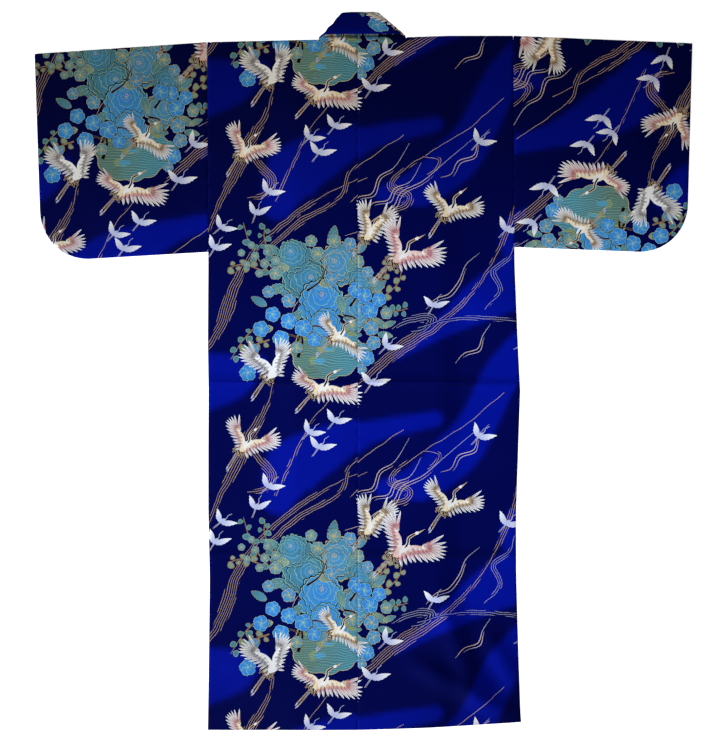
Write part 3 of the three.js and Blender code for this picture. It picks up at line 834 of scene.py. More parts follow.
def top_marks(spots):
    """Number of the last mark over each spot of one period, or -1."""
    order = np.argsort(spots[:, 0])
    xs, ys = spots[order, 0], spots[order, 1]
    top = np.full(len(spots), -1)
    for number, mark in enumerate(UNIT):
        low, high = mark.outline.min(axis=0), mark.outline.max(axis=0)
        first, last = np.searchsorted(xs, (low[0], high[0]))
        near = first + np.flatnonzero((ys[first:last] > low[1]) & (ys[first:last] < high[1]))
        covered = inside_outline(np.column_stack((xs[near], ys[near])), mark.outline)
        top[order[near[covered]]] = number
    return top


def distance_to_line(places, path):
    """Distance, side and share along of places from a line of points."""
    start, way = path[:-1], np.diff(path, axis=0)
    length2 = np.maximum((way**2).sum(axis=1), 1e-9)
    rel = places[:, None, :] - start[None]
    share = np.clip((rel * way[None]).sum(axis=2) / length2, 0, 1)
    off = rel - share[..., None] * way[None]
    distance = np.linalg.norm(off, axis=2)
    best = distance.argmin(axis=1)
    rows = np.arange(len(places))
    side = way[best, 0] * off[rows, best, 1] - way[best, 1] * off[rows, best, 0]
    return distance[rows, best], np.sign(side), (best + share[rows, best]) / len(way)


def haze(places):
    """Strength of the blue haze at places of the print, 0 to 1."""
    strength = np.zeros(len(places))
    for offset in period_offsets():
        for points, widths, soft in HAZES:
            path = smooth_line(points, 12) + offset
            reach = max(widths) / 2 + soft
            near = np.flatnonzero(np.all((places > path.min(axis=0) - reach)
                                         & (places < path.max(axis=0) + reach), axis=1))
            if len(near):
                away, _, share = distance_to_line(places[near], path)
                half = np.interp(share, np.linspace(0, 1, len(widths)), widths) / 2
                found = rise(half + soft / 2, half - soft / 2, away)
                strength[near] = np.maximum(strength[near], found)
    return strength


# ---- Cloth meshes ------------------------------------------------------------------------------

EDGE_ROWS = (1.0, 2.4, 5.0)  # rows of the net inside the edge of a cloth
CREASE_ROWS = (-6, -3, -1.5, 0, 1.5, 3, 6)  # rows across a storage crease
FOLD_ROWS = np.arange(-3.2, 6.1, 0.8)  # rows round a top fold
LINING_STEP = 14.0  # spacing of the net on the wrong side, close enough to follow the folds

# A piece of cloth. outline is its flat cut, anticlockwise as seen on the right side. lay gives
# the place in space of flat places, at a depth in the wall. fold_y is the flat y of its top fold
# at an x, or None. print_turn, 1 or -1, and print_move lead from flat places to the print.
Piece = namedtuple("Piece", "node outline lay fold_y wall print_turn print_move")


def on_print(piece, places):
    return places * piece.print_turn + piece.print_move


def triangulate(outline, extra, edges):
    """Triangles inside an outline, through extra places and along edges between them."""
    points = [Vector(p) for p in outline]
    faces = [list(range(len(points)))]
    edges = [(int(a) + len(outline), int(b) + len(outline)) for a, b in edges]
    points.extend(Vector(p) for p in extra)
    made, _, triangles, _, _, over = delaunay_2d_cdt(points, edges, faces, 1, 0.02, True)
    places = np.array([tuple(p) for p in made])
    triangles = np.array([t for t, ids in zip(triangles, over) if ids])
    used = np.unique(triangles)
    renumber = np.full(len(places), -1)
    renumber[used] = np.arange(len(used))
    return places[used], renumber[triangles]


def rim_loop(triangles):
    """Vertices round the open edge of a net of triangles, in order."""
    edges = np.concatenate((triangles[:, (0, 1)], triangles[:, (1, 2)], triangles[:, (2, 0)]))
    known = {tuple(e) for e in edges.tolist()}
    following = {a: b for a, b in known if (b, a) not in known}
    first = next(iter(following))
    loop = [first]
    while following[loop[-1]] != first:
        loop.append(following[loop[-1]])
    if len(loop) != len(following):
        raise RuntimeError("a cloth's edge is not one loop")
    return np.array(loop)


def net_places(outline, step, rows=()):
    """Places of an even net over an outline's box, and rows just inside its edge."""
    low, high = outline.min(axis=0), outline.max(axis=0)
    xs = np.arange(low[0] + step / 2, high[0], step)
    ys = np.arange(low[1] + step / 2, high[1], step)
    places = [np.stack([g.ravel() for g in np.meshgrid(xs, ys)], axis=1)]
    places[0][:, 0] += np.where((places[0][:, 1] / step).astype(int) % 2, step / 4, -step / 4)
    for y in rows:
        places.append(np.stack((xs, np.full_like(xs, y)), axis=1))
    following = np.roll(outline, -1, axis=0)
    for a, b in zip(outline, following):
        length = np.linalg.norm(b - a)
        if length < 1:
            continue
        inward = np.array((-(b - a)[1], (b - a)[0])) / length
        count = max(1, int(length / step))
        along = (np.arange(count) + 0.5) / count
        for off in EDGE_ROWS:
            places.append(a + (b - a) * along[:, None] + inward * off)
    return np.concatenate(places)


def fold_places(piece, step):
    """Rows of places that follow the bend of a piece's top fold."""
    if piece.fold_y is None:
        return np.zeros((0, 2))
    xs = np.arange(piece.outline[:, 0].min() + step / 2, piece.outline[:, 0].max(), 0.6 * step)
    return np.concatenate([np.stack((xs, piece.fold_y(xs) + off), axis=1) for off in FOLD_ROWS])


def inside_outline(places, outline):
    """Which places lie inside an outline."""
    found = np.zeros(len(places), dtype=bool)
    for a, b in zip(outline, np.roll(outline, -1, axis=0)):
        crosses = (a[1] > places[:, 1]) != (b[1] > places[:, 1])
        with np.errstate(divide="ignore", invalid="ignore"):
            x = a[0] + (places[:, 1] - a[1]) * (b[0] - a[0]) / (b[1] - a[1])
        found ^= crosses & (places[:, 0] < x)
    return found


def surface_normals(piece, places, depth):
    """Normals of the cloth's right side at flat places."""
    step = 0.4
    across = (piece.lay(places[:, 0] + step, places[:, 1], depth)
              - piece.lay(places[:, 0] - step, places[:, 1], depth))
    along = (piece.lay(places[:, 0], places[:, 1] + step, depth)
             - piece.lay(places[:, 0], places[:, 1] - step, depth))
    normals = np.cross(across, along)
    return normals / np.maximum(np.linalg.norm(normals, axis=1), 1e-9)[:, None]


def painted_light_and_shade(points):
    """Painted light and shade on the cloth's colour: darker towards the shoulders and the hem, with
    a painted highlight and shade along the creases.
    """
    x, y = points[:, 0], points[:, 1]
    # Painted shade: darker towards the shoulders and the hem where the light falls off, over the
    # tops of the shoulder folds, and in the soft folds at the lower right.
    depth = 1.0 - 0.56 * rise(60, 640, y) - 0.12 * rise(-330, -700, y) - 0.14 * rise(688, 706, y)
    depth -= 0.26 * rise(60, 230, x) * rise(-490, -670, y)
    # Painted highlight and shade along each storage crease.
    for crease_y, _, _ in CREASES:
        past = past_crease(x, y, crease_y)
        marks = sum(strength * np.exp(-((past - middle) / width) ** 2)
                    for strength, middle, width in CREASE_PAINTED_LIGHT)
        depth *= 1 + (0.75 + 0.25 * np.sin(x / 47.0) * np.sin(x / 19.0)) * marks
    return depth


def seam_shade(points):
    """Share of the light that is left in the hollow below the collar's back seam."""
    x, y = points[:, 0], points[:, 1]
    below = y - top_edge(x) + NECK_HOLLOW
    return 1 - 0.88 * rise(90, 74, np.abs(x - 4)) * np.exp(-(below / NECK_HOLLOW) ** 2)


def put_attribute(mesh, name, kind, domain, values):
    """Store numbers of the mesh's points or corners under a name."""
    layer = mesh.attributes.new(name, kind, domain)
    field = "value" if kind == "FLOAT" else "vector"
    layer.data.foreach_set(field, np.ascontiguousarray(values, dtype=np.float32).ravel())


def print_borders(piece):
    """Borders of the print's shown regions that reach a piece, in its flat places."""
    shown, borders, _, _ = shown_regions()
    outline = on_print(piece, piece.outline)
    low, high = piece.outline.min(axis=0), piece.outline.max(axis=0)
    places, edges, count = [np.zeros((0, 2))], [np.zeros((0, 2), dtype=int)], 0
    for offset in repeats(outline.min(axis=0), outline.max(axis=0)):
        moved = (shown + offset - piece.print_move) * piece.print_turn
        ends = moved[borders]
        near = np.all((ends.min(axis=1) < high) & (ends.max(axis=1) > low), axis=1)
        used, numbers = np.unique(borders[near], return_inverse=True)
        places.append(moved[used])
        edges.append(numbers.reshape(-1, 2) + count)
        count += len(used)
    return np.concatenate(places), np.concatenate(edges)


def marks_over(piece, places, triangles):
    """The top mark over each triangle, or -1, and the shift of its period of the print."""
    _, _, tree, tops = shown_regions()
    inked = on_print(piece, places)
    centres = inked[triangles].mean(axis=1)
    top = np.full(len(triangles), -1)
    shifts = np.zeros((len(triangles), 2))
    down = Vector((0, 0, -1))
    for offset in repeats(inked.min(axis=0), inked.max(axis=0)):
        spots = centres - offset
        for k in np.flatnonzero(np.all((spots > UNIT_BOX[0]) & (spots < UNIT_BOX[1]), axis=1)):
            hit = tree.ray_cast((spots[k, 0], spots[k, 1], 1.0), down)[2]
            if hit is not None and tops[hit] > top[k]:
                top[k], shifts[k] = tops[hit], offset
    return top, shifts


def print_on(piece, places, triangles):
    """Ink, tip ink, mark and local place at each corner of each triangle."""
    top, shifts = marks_over(piece, places, triangles)
    spots = on_print(piece, places)[triangles.ravel()] - np.repeat(shifts, 3, axis=0)
    owner = np.repeat(top, 3)
    ink, tip, facts, local = (np.zeros((len(owner), 3)) for _ in range(4))
    order = np.argsort(owner, kind="stable")
    owners, starts = np.unique(owner[order], return_index=True)
    bounds = [*starts, len(order)]
    for number, first, last in zip(owners, bounds[:-1], bounds[1:]):
        if number < 0:
            continue
        chosen, mark = order[first:last], UNIT[number]
        ink[chosen], tip[chosen] = mark.ink, mark.tip
        facts[chosen] = (1.0, mark.lines, mark.share)
        local[chosen, :2] = mark_places(mark, spots[chosen])
        local[chosen, 2] = mark.vein
    return ink, tip, facts, local


def mark_places(mark, spots):
    """Places across and along a mark."""
    if mark.rule.shape == (2, 3):
        return spots @ mark.rule[:, :2].T + mark.rule[:, 2]
    away, side, share = distance_to_line(spots, mark.rule)
    return np.column_stack((away * side, share))


def cloth_nets(piece, step):
    """Flat places, triangles and edge loop of the right side's net and of the wrong side's."""
    def inside(*places):
        found = np.concatenate(places)
        return found[inside_outline(found, piece.outline)]

    cut_places, cut_edges = print_borders(piece)
    folds = fold_places(piece, step)
    rows = [y + off for y, _, _ in CREASES for off in CREASE_ROWS]
    net = inside(net_places(piece.outline, step, rows), folds)
    flat, faces = triangulate(piece.outline, np.concatenate((cut_places, net)), cut_edges)
    loop = rim_loop(faces)
    net = inside(net_places(piece.outline, LINING_STEP), folds)
    inner_flat, inner_faces = triangulate(flat[loop], net, [])
    inner_loop = rim_loop(inner_faces)
    if len(inner_loop) != len(loop):
        raise RuntimeError(f"{piece.node}: the two faces have different edges")
    first = np.argmin(np.linalg.norm(inner_flat[inner_loop] - flat[loop[0]], axis=1))
    return (flat, faces, loop), (inner_flat, inner_faces, np.roll(inner_loop, -first))


def make_cloth(context, piece):
    """A closed thin wall of cloth with its print, from a piece's flat outline and its lie."""
    (flat, faces, loop), (inner_flat, inner_faces, inner_loop) = cloth_nets(
        piece, context.scene.yukata_sizes.net_step / MM)
    inner_loop = inner_loop + len(flat)
    after, inner_after = np.roll(loop, -1), np.roll(inner_loop, -1)
    rim = np.concatenate((np.stack((loop, inner_loop, inner_after), axis=1),
                          np.stack((loop, inner_after, after), axis=1)))
    triangles = np.concatenate((faces, inner_faces[:, ::-1] + len(flat), rim))
    points = np.concatenate((piece.lay(flat[:, 0], flat[:, 1], 0.0),
                             piece.lay(inner_flat[:, 0], inner_flat[:, 1], piece.wall)))

    mesh = bpy.data.meshes.new(f"cloth_{piece.node}")
    mesh.from_pydata((points * MM).tolist(), [], triangles.tolist())
    mesh.polygons.foreach_set("use_smooth", np.ones(len(triangles), dtype=bool))
    slots = np.zeros(len(triangles), dtype=np.int32)
    if piece.wall != BAND:  # the doubled band has its right side on both faces
        slots[len(faces):len(faces) + len(inner_faces)] = 1
    mesh.polygons.foreach_set("material_index", slots)
    for material in cloth_materials(context):
        mesh.materials.append(material)

    blank = np.zeros((3 * (len(triangles) - len(faces)), 3))
    for name, values in zip(("ink", "tip_ink", "mark", "across_along"),
                            print_on(piece, flat, faces)):
        put_attribute(mesh, name, "FLOAT_VECTOR", "CORNER", np.concatenate((values, blank)))
    all_flat = np.concatenate((flat, inner_flat))
    put_attribute(mesh, "haze", "FLOAT", "POINT", haze(on_print(piece, all_flat)))
    # Painted light and shade, and the painted shadow below the collar's back seam.
    put_attribute(mesh, "painted_light_and_shade", "FLOAT", "POINT", painted_light_and_shade(points))
    put_attribute(mesh, "seam_shade", "FLOAT", "POINT", seam_shade(points))
    cloth_places = np.column_stack((all_flat * MM, np.zeros(len(all_flat))))
    put_attribute(mesh, "cloth_place", "FLOAT_VECTOR", "POINT", cloth_places)

    normals = np.concatenate((surface_normals(piece, flat, 0.0),
                              -surface_normals(piece, inner_flat, piece.wall)))
    corner_normals = normals[triangles.ravel()]
    a, b, c = (points[rim[:, k]] for k in range(3))
    rim_normals = np.cross(b - a, c - a)
    rim_normals /= np.maximum(np.linalg.norm(rim_normals, axis=1), 1e-9)[:, None]
    corner_normals[-3 * len(rim):] = np.repeat(rim_normals, 3, axis=0)
    mesh.normals_split_custom_set(corner_normals.tolist())
    mesh.validate()

    made = bpy.data.objects.new(mesh.name, mesh)
    context.scene.collection.objects.link(made)
    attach(made, "root")
    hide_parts(piece.node)
    return made


# ---- Outlines and lies of the pieces -----------------------------------------------------------

def along_line(points, step=26.0):
    """Points of an open line with none further apart than a step."""
    found = []
    for a, b in zip(points[:-1], points[1:]):
        a, b = np.asarray(a, dtype=float), np.asarray(b, dtype=float)
        count = max(1, math.ceil(np.linalg.norm(b - a) / step))
        found.extend(a + (b - a) * k / count for k in range(count))
    return found


def rounded_down(distance, roll):
    """How far an edge rounds down at a distance from it."""
    return roll * np.exp(-np.maximum(distance, 0) / 1.6)


def beyond_fold(x, y, top, upper_top, lower_bottom):
    """Flat place of a point of the lower layer, which lies beyond the fold at top."""
    radius = (upper_top(x, top) - lower_bottom(x, top)) / 2
    return (x, top - radius + np.pi * radius + (top - radius - y))


def collar_side_x(half, y):
    """X of the edge of a panel that the collar is sewn to."""
    return collar_seam_x(half, y) + half.side * (GAP / 2 + 0.5)


def body_piece(context, name):
    """Back and front of one half in one length of cloth, folded over the shoulder."""
    half = HALVES[name]
    roll = context.scene.yukata_sizes.edge_roll / MM

    def upper_top(x, y):
        at_seam = rounded_down(np.abs(x - CENTRE_X), roll)
        at_side = rounded_down(np.abs(x - side_edge(half, y)), roll + GAP / 2)
        return back_under(x, y) + CLOTH - at_seam - at_side

    def lower_bottom(x, y):
        return front_under(half, x, y)

    def fold_y(x):
        return top_edge(x) + NECK_RISE * rise(half.neck_x, half.neck_corner_x, x)

    def lay(x, along, depth):
        return folded_over(x, along, fold_y(x), upper_top, lower_bottom, depth)

    def over(x, y):
        return beyond_fold(x, y, top_edge(x), upper_top, lower_bottom)

    ys = np.arange(-700.0, 660.0, 30.0)
    point_y = okumi_point_y(half)
    seam_ys = np.arange(point_y, top_edge(half.neck_x) - 4, 24.0)
    side_x = side_edge(half, HEM[0, 1])
    neck_x = half.neck_x + half.side * GAP / 2
    centre = [(CENTRE_X, hem_edge(CENTRE_X)), (CENTRE_X, top_edge(CENTRE_X))]
    outline = [(x, hem_edge(x)) for x in np.linspace(side_x, CENTRE_X, 12)]
    outline += [*along_line(centre)[1:], centre[1]]
    outline += [(half.neck_corner_x, top_edge(half.neck_corner_x)),
                (neck_x, top_edge(neck_x) - 2.2)]
    outline += [over(collar_side_x(half, y), y) for y in seam_ys[::-1]]
    outline += [over(half.okumi_seam_x, y) for y in np.arange(point_y - 4, -700.0, -40.0)]
    outline += [over(x, hem_edge(x)) for x in np.linspace(side_x, half.okumi_seam_x, 10)[::-1]]
    outline += [over(side_edge(half, y), y) for y in ys]
    outline += [(side_edge(half, y), y) for y in ys[::-1]]
    return Piece(f"body_{name}", anticlockwise(outline), lay, fold_y, CLOTH,
                 1, (2.0 * half.side, 4.0 * half.side))


def okumi_piece(name):
    """Overlap panel of one front, face down."""
    half = HALVES[name]
    seam_x, edge_x = half.okumi_seam_x, front_edge_x(half)

    def lay(x, along, depth):
        return np.stack((x, -along, front_under(half, x, -along) + depth), axis=-1)

    top_y = okumi_point_y(half) - 13.0
    ys = np.arange(COLLAR_END_Y, top_y, 30.0)
    outline = [(x, hem_edge(x)) for x in np.linspace(edge_x, seam_x, 6)]
    outline += [(seam_x, y) for y in np.arange(-690.0, top_y, 40.0)] + [(seam_x, top_y)]
    outline += [(collar_side_x(half, y), y) for y in [top_y, *ys[::-1]]]
    outline += [(edge_x, y) for y in np.arange(COLLAR_END_Y, -700.0, -40.0)]
    return Piece(f"okumi_{name}", anticlockwise([(x, -y) for x, y in outline]), lay, None, CLOTH,
                 1, (190.0 * half.side, 240.0))


# How the print lies on each sleeve: upright or upside down, and its shift.
SLEEVE_PRINTS = {"left": (1, (398.0, -410.0)), "right": (-1, (397.0, 359.0))}


def sleeve_piece(context, name):
    """A sleeve of one cloth folded at the top, its round corner sewn at the bottom."""
    half, sleeve = HALVES[name], SLEEVES[name]
    roll = context.scene.yukata_sizes.edge_roll / MM
    outer_x, outer_y = sleeve.outer_top
    top_x = side_edge(half, sleeve.armhole_top_y)
    bottom_x = side_edge(half, sleeve.armhole_bottom_y)
    radius_x, radius_y = CORNER_RADIUS
    corner_x = sleeve.outer_bottom_x - half.side * radius_x
    corner_y = sleeve.bottom_y + radius_y

    def fold_y(x):
        climb = (outer_y - sleeve.armhole_top_y) * (x - top_x) / (outer_x - top_x)
        return sleeve.armhole_top_y + climb

    def bottom_at(x):
        reach = np.clip((x - corner_x) * half.side / radius_x, 0, 1)
        arc = corner_y - radius_y * np.sqrt(1 - reach**2)
        share = np.clip((x - bottom_x) / (corner_x - bottom_x), 0, 1)
        plain = sleeve.armhole_bottom_y + (sleeve.bottom_y - sleeve.armhole_bottom_y) * share
        return np.where(reach > 0, arc, plain)

    def outer_at(y):
        share = (y - corner_y) / (outer_y - corner_y)
        return sleeve.outer_bottom_x + (outer_x - sleeve.outer_bottom_x) * share

    def upper_top(x, y):
        at_armhole = rounded_down(np.abs(x - side_edge(half, y)), roll)
        at_bottom = rounded_down(y - bottom_at(x), roll + GAP / 2)
        at_outer = rounded_down(np.abs(x - outer_at(y)), roll)
        plain = CLOTH + GAP + relief(x, y, False) + CLOTH
        return plain - at_armhole - np.maximum(at_bottom, at_outer)

    def lower_bottom(x, y):
        return np.zeros_like(x)

    def lay(x, along, depth):
        return folded_over(x, along, fold_y(x), upper_top, lower_bottom, depth)

    def over(x, y):
        return beyond_fold(x, y, fold_y(x), upper_top, lower_bottom)

    armhole_ys = np.linspace(sleeve.armhole_bottom_y, sleeve.armhole_top_y - 3, 16)[1:]
    armhole = [(side_edge(half, y), y) for y in armhole_ys]
    back = [(x, float(bottom_at(np.array(x)))) for x in np.linspace(bottom_x, corner_x, 9)[:-1]]
    back += [(corner_x + half.side * radius_x * math.sin(a), corner_y - radius_y * math.cos(a))
             for a in np.linspace(0, math.pi / 2, 12)]
    back += [(outer_at(y), y) for y in np.linspace(corner_y, outer_y - 3, 12)[1:]]
    outline = back + [over(x, y) for x, y in back[::-1]]
    outline += [over(x, y) for x, y in armhole] + armhole[::-1]
    return Piece(f"sleeve_{name}", anticlockwise(outline), lay, fold_y, CLOTH,
                 *SLEEVE_PRINTS[name])


def collar_piece():
    """The collar band, round the back of the neck and folded to both fronts."""
    seams, frees, inner_seams, inner_frees = (np.array(e) for e in zip(*collar_sections()))
    middle = (seams + frees) / 2
    places = np.concatenate(([0], np.cumsum(np.linalg.norm(np.diff(middle, axis=0), axis=1))))

    def lay(along, across, depth):
        def at(ends):
            return np.stack([np.interp(along, places, ends[:, k]) for k in range(3)], axis=-1)
        share = (across / COLLAR_WIDTH)[..., None]
        outer = at(seams) * (1 - share) + at(frees) * share
        inner = at(inner_seams) * (1 - share) + at(inner_frees) * share
        inward = (inner - outer) / BAND
        edge = np.minimum(across, COLLAR_WIDTH - across)
        sunk = rounded_down(edge, 1.0) * (1 - depth / BAND)
        return outer + inward * (depth + sunk)[..., None]

    alongs = np.arange(0, places[-1], 30.0)
    outline = [(a, 0.0) for a in alongs] + [(places[-1], 0.0)]
    outline += [(places[-1], w) for w in (18.0, 36.0, COLLAR_WIDTH)]
    outline += [(a, COLLAR_WIDTH) for a in alongs[::-1]] + [(0.0, 36.0), (0.0, 18.0)]
    return Piece("collar", np.array(outline), lay, None, BAND, 1, (-1050.0, -30.0))


def band_section(edges, outer, inner):
    """Outer, then inner points at a section's seam and free edge, from places and heights."""
    return tuple((*edge, z) for heights in (outer, inner) for edge, z in zip(edges, heights))


def front_sections(half):
    """The band down one front, face down, from its end up to the neck."""
    end_x = front_edge_x(half)
    neck_y = top_edge(half.neck_x) + 3.4
    foot_y = COLLAR_END_Y + GAP
    found = []
    for share in np.linspace(0, 0.96, 26):
        seam_y = foot_y + (neck_y - COLLAR_END_Y - GAP) * share
        seam = (collar_seam_x(half, seam_y) - half.side * GAP / 2, seam_y)
        free = (half.fold_top_x + (end_x - half.fold_top_x) * (1 - share) ** 1.5,
                foot_y + (COLLAR_TOP_Y - 2 - COLLAR_END_Y - GAP) * share)
        low = [float(front_under(half, np.array(x), np.array(y))) for x, y in (seam, free)]
        found.append(band_section((seam, free), low, [z + BAND for z in low]))
    return found


def turn_sections(half):
    """The band where it turns under beside the neck, from the back to the front."""
    seam = np.array((half.neck_x - half.side * 2.0, top_edge(half.neck_x) + 3.4))
    free = np.array((half.fold_top_x, COLLAR_TOP_Y))
    out = np.array((free[1] - seam[1], seam[0] - free[0]))
    out *= half.side * np.sign(out[0]) / np.linalg.norm(out)
    radius = BACK_BAND_TOP / 2
    found = []
    for angle in np.pi * (0.5 - np.linspace(0, 1, 9)):
        found.append(tuple(
            (*(edge + out * (r * math.cos(angle) - radius)), radius + r * math.sin(angle))
            for r in (radius, radius - BAND) for edge in (seam, free)))
    return found


def collar_sections():
    """Sections of the collar from one front end to the other: outer and inner edge points."""
    left, right = HALVES["left"], HALVES["right"]
    back = []
    stops = np.linspace(0, 1, 13)[1:-1]
    corner_share = 0.09
    for share in stops:
        past_corner = (share - stops[0]) / (stops[-1] - stops[0]) * (1 - 2 * corner_share)
        seam_x = left.neck_x + (right.neck_x - left.neck_x) * (corner_share + past_corner)
        seam = (seam_x, float(top_edge(seam_x)) + 0.05)
        free = (left.fold_top_x + (right.fold_top_x - left.fold_top_x) * share, COLLAR_TOP_Y)
        back.append(band_section((seam, free), [BACK_BAND_TOP] * 2, [BACK_BAND_TOP - BAND] * 2))
    return (front_sections(left) + turn_sections(left)[::-1] + back
            + turn_sections(right) + front_sections(right)[::-1])


# ---- Materials ---------------------------------------------------------------------------------

STREAM_SWIRL, RIPPLE_SWIRL = 1.5, 3.4  # how far thin lines stray, in line spacings
LINE_SOFTNESS, VEIN_WIDTH = 0.05, 0.13  # in line spacings
INK_IN_PAINTED_SHADE = (0.88, 0.70, 0.46)  # red, green and blue left of an ink where the painted shade is deepest


class Nodes:
    """Adds and links the nodes of one material."""

    def __init__(self, name):
        self.material = bpy.data.materials.new(name)
        self.material.use_nodes = True
        self.tree = self.material.node_tree
        self.shader = self.tree.nodes["Principled BSDF"]
        self.count = 0

    def feed(self, node, inputs):
        """Link or set a node's inputs."""
        for socket, value in inputs.items():
            if isinstance(value, bpy.types.NodeSocket):
                self.tree.links.new(value, node.inputs[socket])
            else:
                node.inputs[socket].default_value = value

    def add(self, kind, inputs, **settings):
        node = self.tree.nodes.new(kind)
        self.count += 1
        node.location = (-260 * (1 + self.count % 8), 320 - 180 * (self.count // 8))
        for name, value in settings.items():
            setattr(node, name, value)
        self.feed(node, inputs)
        return node

    def math(self, operation, *values):
        node = self.add("ShaderNodeMath", dict(enumerate(values)), operation=operation)
        return node.outputs[0]

    def product(self, *values):
        return functools.reduce(functools.partial(self.math, "MULTIPLY"), values)

    def scaled(self, value, scale, start):
        return self.math("MULTIPLY_ADD", value, scale, start)

    def rest(self, share):
        """What a share leaves of 1."""
        return self.math("SUBTRACT", 1.0, share)

    def noise(self, place, scale, detail):
        return self.add("ShaderNodeTexNoise", {0: place, 2: scale, 3: detail}).outputs[0]

    def attribute(self, name, output="Fac"):
        return self.add("ShaderNodeAttribute", {}, attribute_name=name).outputs[output]

    def split(self, name):
        """The three numbers of an attribute."""
        return self.add("ShaderNodeSeparateXYZ", {0: self.attribute(name, "Vector")}).outputs

    def mix(self, share, first, second, blend="MIX"):
        return self.add("ShaderNodeMix", {0: share, 6: first, 7: second},
                        data_type="RGBA", blend_type=blend).outputs[2]

    def shaded(self, colour, red, green, blue):
        """A colour with each of its channels times a share."""
        shares = self.add("ShaderNodeCombineColor", {0: red, 1: green, 2: blue}).outputs[0]
        return self.mix(1.0, colour, shares, "MULTIPLY")


def weave_bump(nodes, place, thread):
    """Fine sateen weave with slubs, as a bump."""
    across_threads = (1 / thread, 0.25 / thread, 1)
    stretched = nodes.add("ShaderNodeMapping", {0: place, 3: across_threads}).outputs[0]
    floats = nodes.noise(stretched, 1.0, 2.0)
    height = nodes.scaled(nodes.noise(place, 160.0, 4.0), 0.7, floats)
    return nodes.add("ShaderNodeBump", {0: 0.18, 1: 0.0004, "Height": height}).outputs[0]


def thin_lines(nodes, place, lines, share, across, is_striped):
    """How far each place is from its nearest thin line, in line spacings, up to a half."""
    rippled = nodes.product(nodes.math("MINIMUM", share, 0.0), -RIPPLE_SWIRL)
    amount = nodes.math("ADD", rippled, nodes.product(is_striped, STREAM_SWIRL))
    swirl = nodes.product(nodes.math("SUBTRACT", nodes.noise(place, 34.0, 0.4), 0.5), amount)
    per_length = nodes.scaled(is_striped, 1 / STREAM_STEP, lines)
    from_middle = nodes.scaled(across, per_length, nodes.product(is_striped, 0.5))
    phase = nodes.math("FRACT", nodes.math("ADD", from_middle, swirl))
    return nodes.math("ABSOLUTE", nodes.math("SUBTRACT", phase, 0.5))


def printed_ground(nodes, colours, cloud, depth):
    """Navy ground with the blue haze over it, darkened by the painted light and shade."""
    strength = nodes.product(nodes.attribute("haze"), nodes.scaled(cloud, 0.5, 0.75))
    ground = nodes.mix(strength, (*colours.navy, 1), (*colours.royal, 1))
    return nodes.shaded(ground, depth, depth, depth)


def printed_marks(nodes, place, cloud, depth):
    """Colour of the motifs, and how much of the ground they cover."""
    covered, lines, share = nodes.split("mark")
    across, along, vein = nodes.split("across_along")
    is_striped = nodes.math("GREATER_THAN", share, 0.01)
    is_solid = nodes.rest(is_striped)
    from_line = thin_lines(nodes, place, lines, share, across, is_striped)
    half_share = nodes.product(share, 0.5)
    on_line = nodes.add("ShaderNodeMapRange", {
        0: from_line, 1: nodes.math("SUBTRACT", half_share, LINE_SOFTNESS),
        2: nodes.math("ADD", half_share, LINE_SOFTNESS), 3: 1.0, 4: 0.0}).outputs[0]
    cover = nodes.scaled(is_striped, nodes.math("MAXIMUM", on_line, vein),
                         nodes.product(covered, is_solid))

    smooth_along = nodes.add("ShaderNodeMapRange", {0: along}, interpolation_type="SMOOTHSTEP")
    blend = nodes.math("ADD", nodes.product(smooth_along.outputs[0], is_solid),
                       nodes.product(is_striped, nodes.rest(on_line)))
    ink = nodes.mix(blend, nodes.attribute("ink", "Vector"), nodes.attribute("tip_ink", "Vector"))
    veined = nodes.product(nodes.math("LESS_THAN", from_line, VEIN_WIDTH), vein, is_solid)
    darker = nodes.product(nodes.rest(veined), nodes.scaled(cloud, 0.3, 0.85))
    # The painted light and shade darkens the inks too, less than the ground.
    shares = [nodes.product(darker, nodes.scaled(depth, 1 - least, least))
              for least in INK_IN_PAINTED_SHADE]
    return nodes.shaded(ink, *shares), cover


def finished(nodes, looks):
    """The material, with its shader's inputs linked or set."""
    nodes.feed(nodes.shader, looks)
    return nodes.material


def printed_cotton(context):
    """Navy cotton with blue haze and inked motifs."""
    nodes = Nodes("cotton_face")
    place = nodes.attribute("cloth_place", "Vector")
    cloud = nodes.noise(place, 9.0, 3.0)
    # Painted light and shade, and the painted shadow below the collar's back seam, both multiply
    # the colour.
    depth, shade = nodes.attribute("painted_light_and_shade"), nodes.attribute("seam_shade")
    ground = printed_ground(nodes, context.scene.yukata_colours, cloud, depth)
    ink, cover = printed_marks(nodes, place, cloud, depth)
    return finished(nodes, {
        "Base Color": nodes.shaded(nodes.mix(cover, ground, ink), shade, shade, shade),
        "Roughness": nodes.scaled(nodes.noise(place, 30.0, 3.0), 0.14, 0.62),
        "Specular IOR Level": 0.10, "Specular Tint": (0.06, 0.14, 1.0, 1.0),
        "Sheen Weight": 0.04, "Sheen Roughness": 0.4, "Sheen Tint": (0.04, 0.1, 1.0, 1.0),
        "Normal": weave_bump(nodes, place, context.scene.yukata_sizes.thread),
    })


def cotton_reverse(context):
    """Wrong side of the cloth, where the ink shows through faintly."""
    colours = context.scene.yukata_colours
    nodes = Nodes("cotton_reverse")
    place = nodes.attribute("cloth_place", "Vector")
    cloud = nodes.noise(place, 22.0, 5.0)
    strength = nodes.product(nodes.attribute("haze"), cloud)
    return finished(nodes, {
        "Base Color": nodes.mix(strength, (*colours.reverse, 1), (*colours.royal, 1)),
        "Roughness": nodes.scaled(cloud, 0.1, 0.8), "Specular IOR Level": 0.06,
        "Normal": weave_bump(nodes, place, context.scene.yukata_sizes.thread),
    })


def cloth_materials(context):
    """The two faces of the cloth, made once."""
    found = bpy.data.materials.get("cotton_face"), bpy.data.materials.get("cotton_reverse")
    return found if all(found) else (printed_cotton(context), cotton_reverse(context))


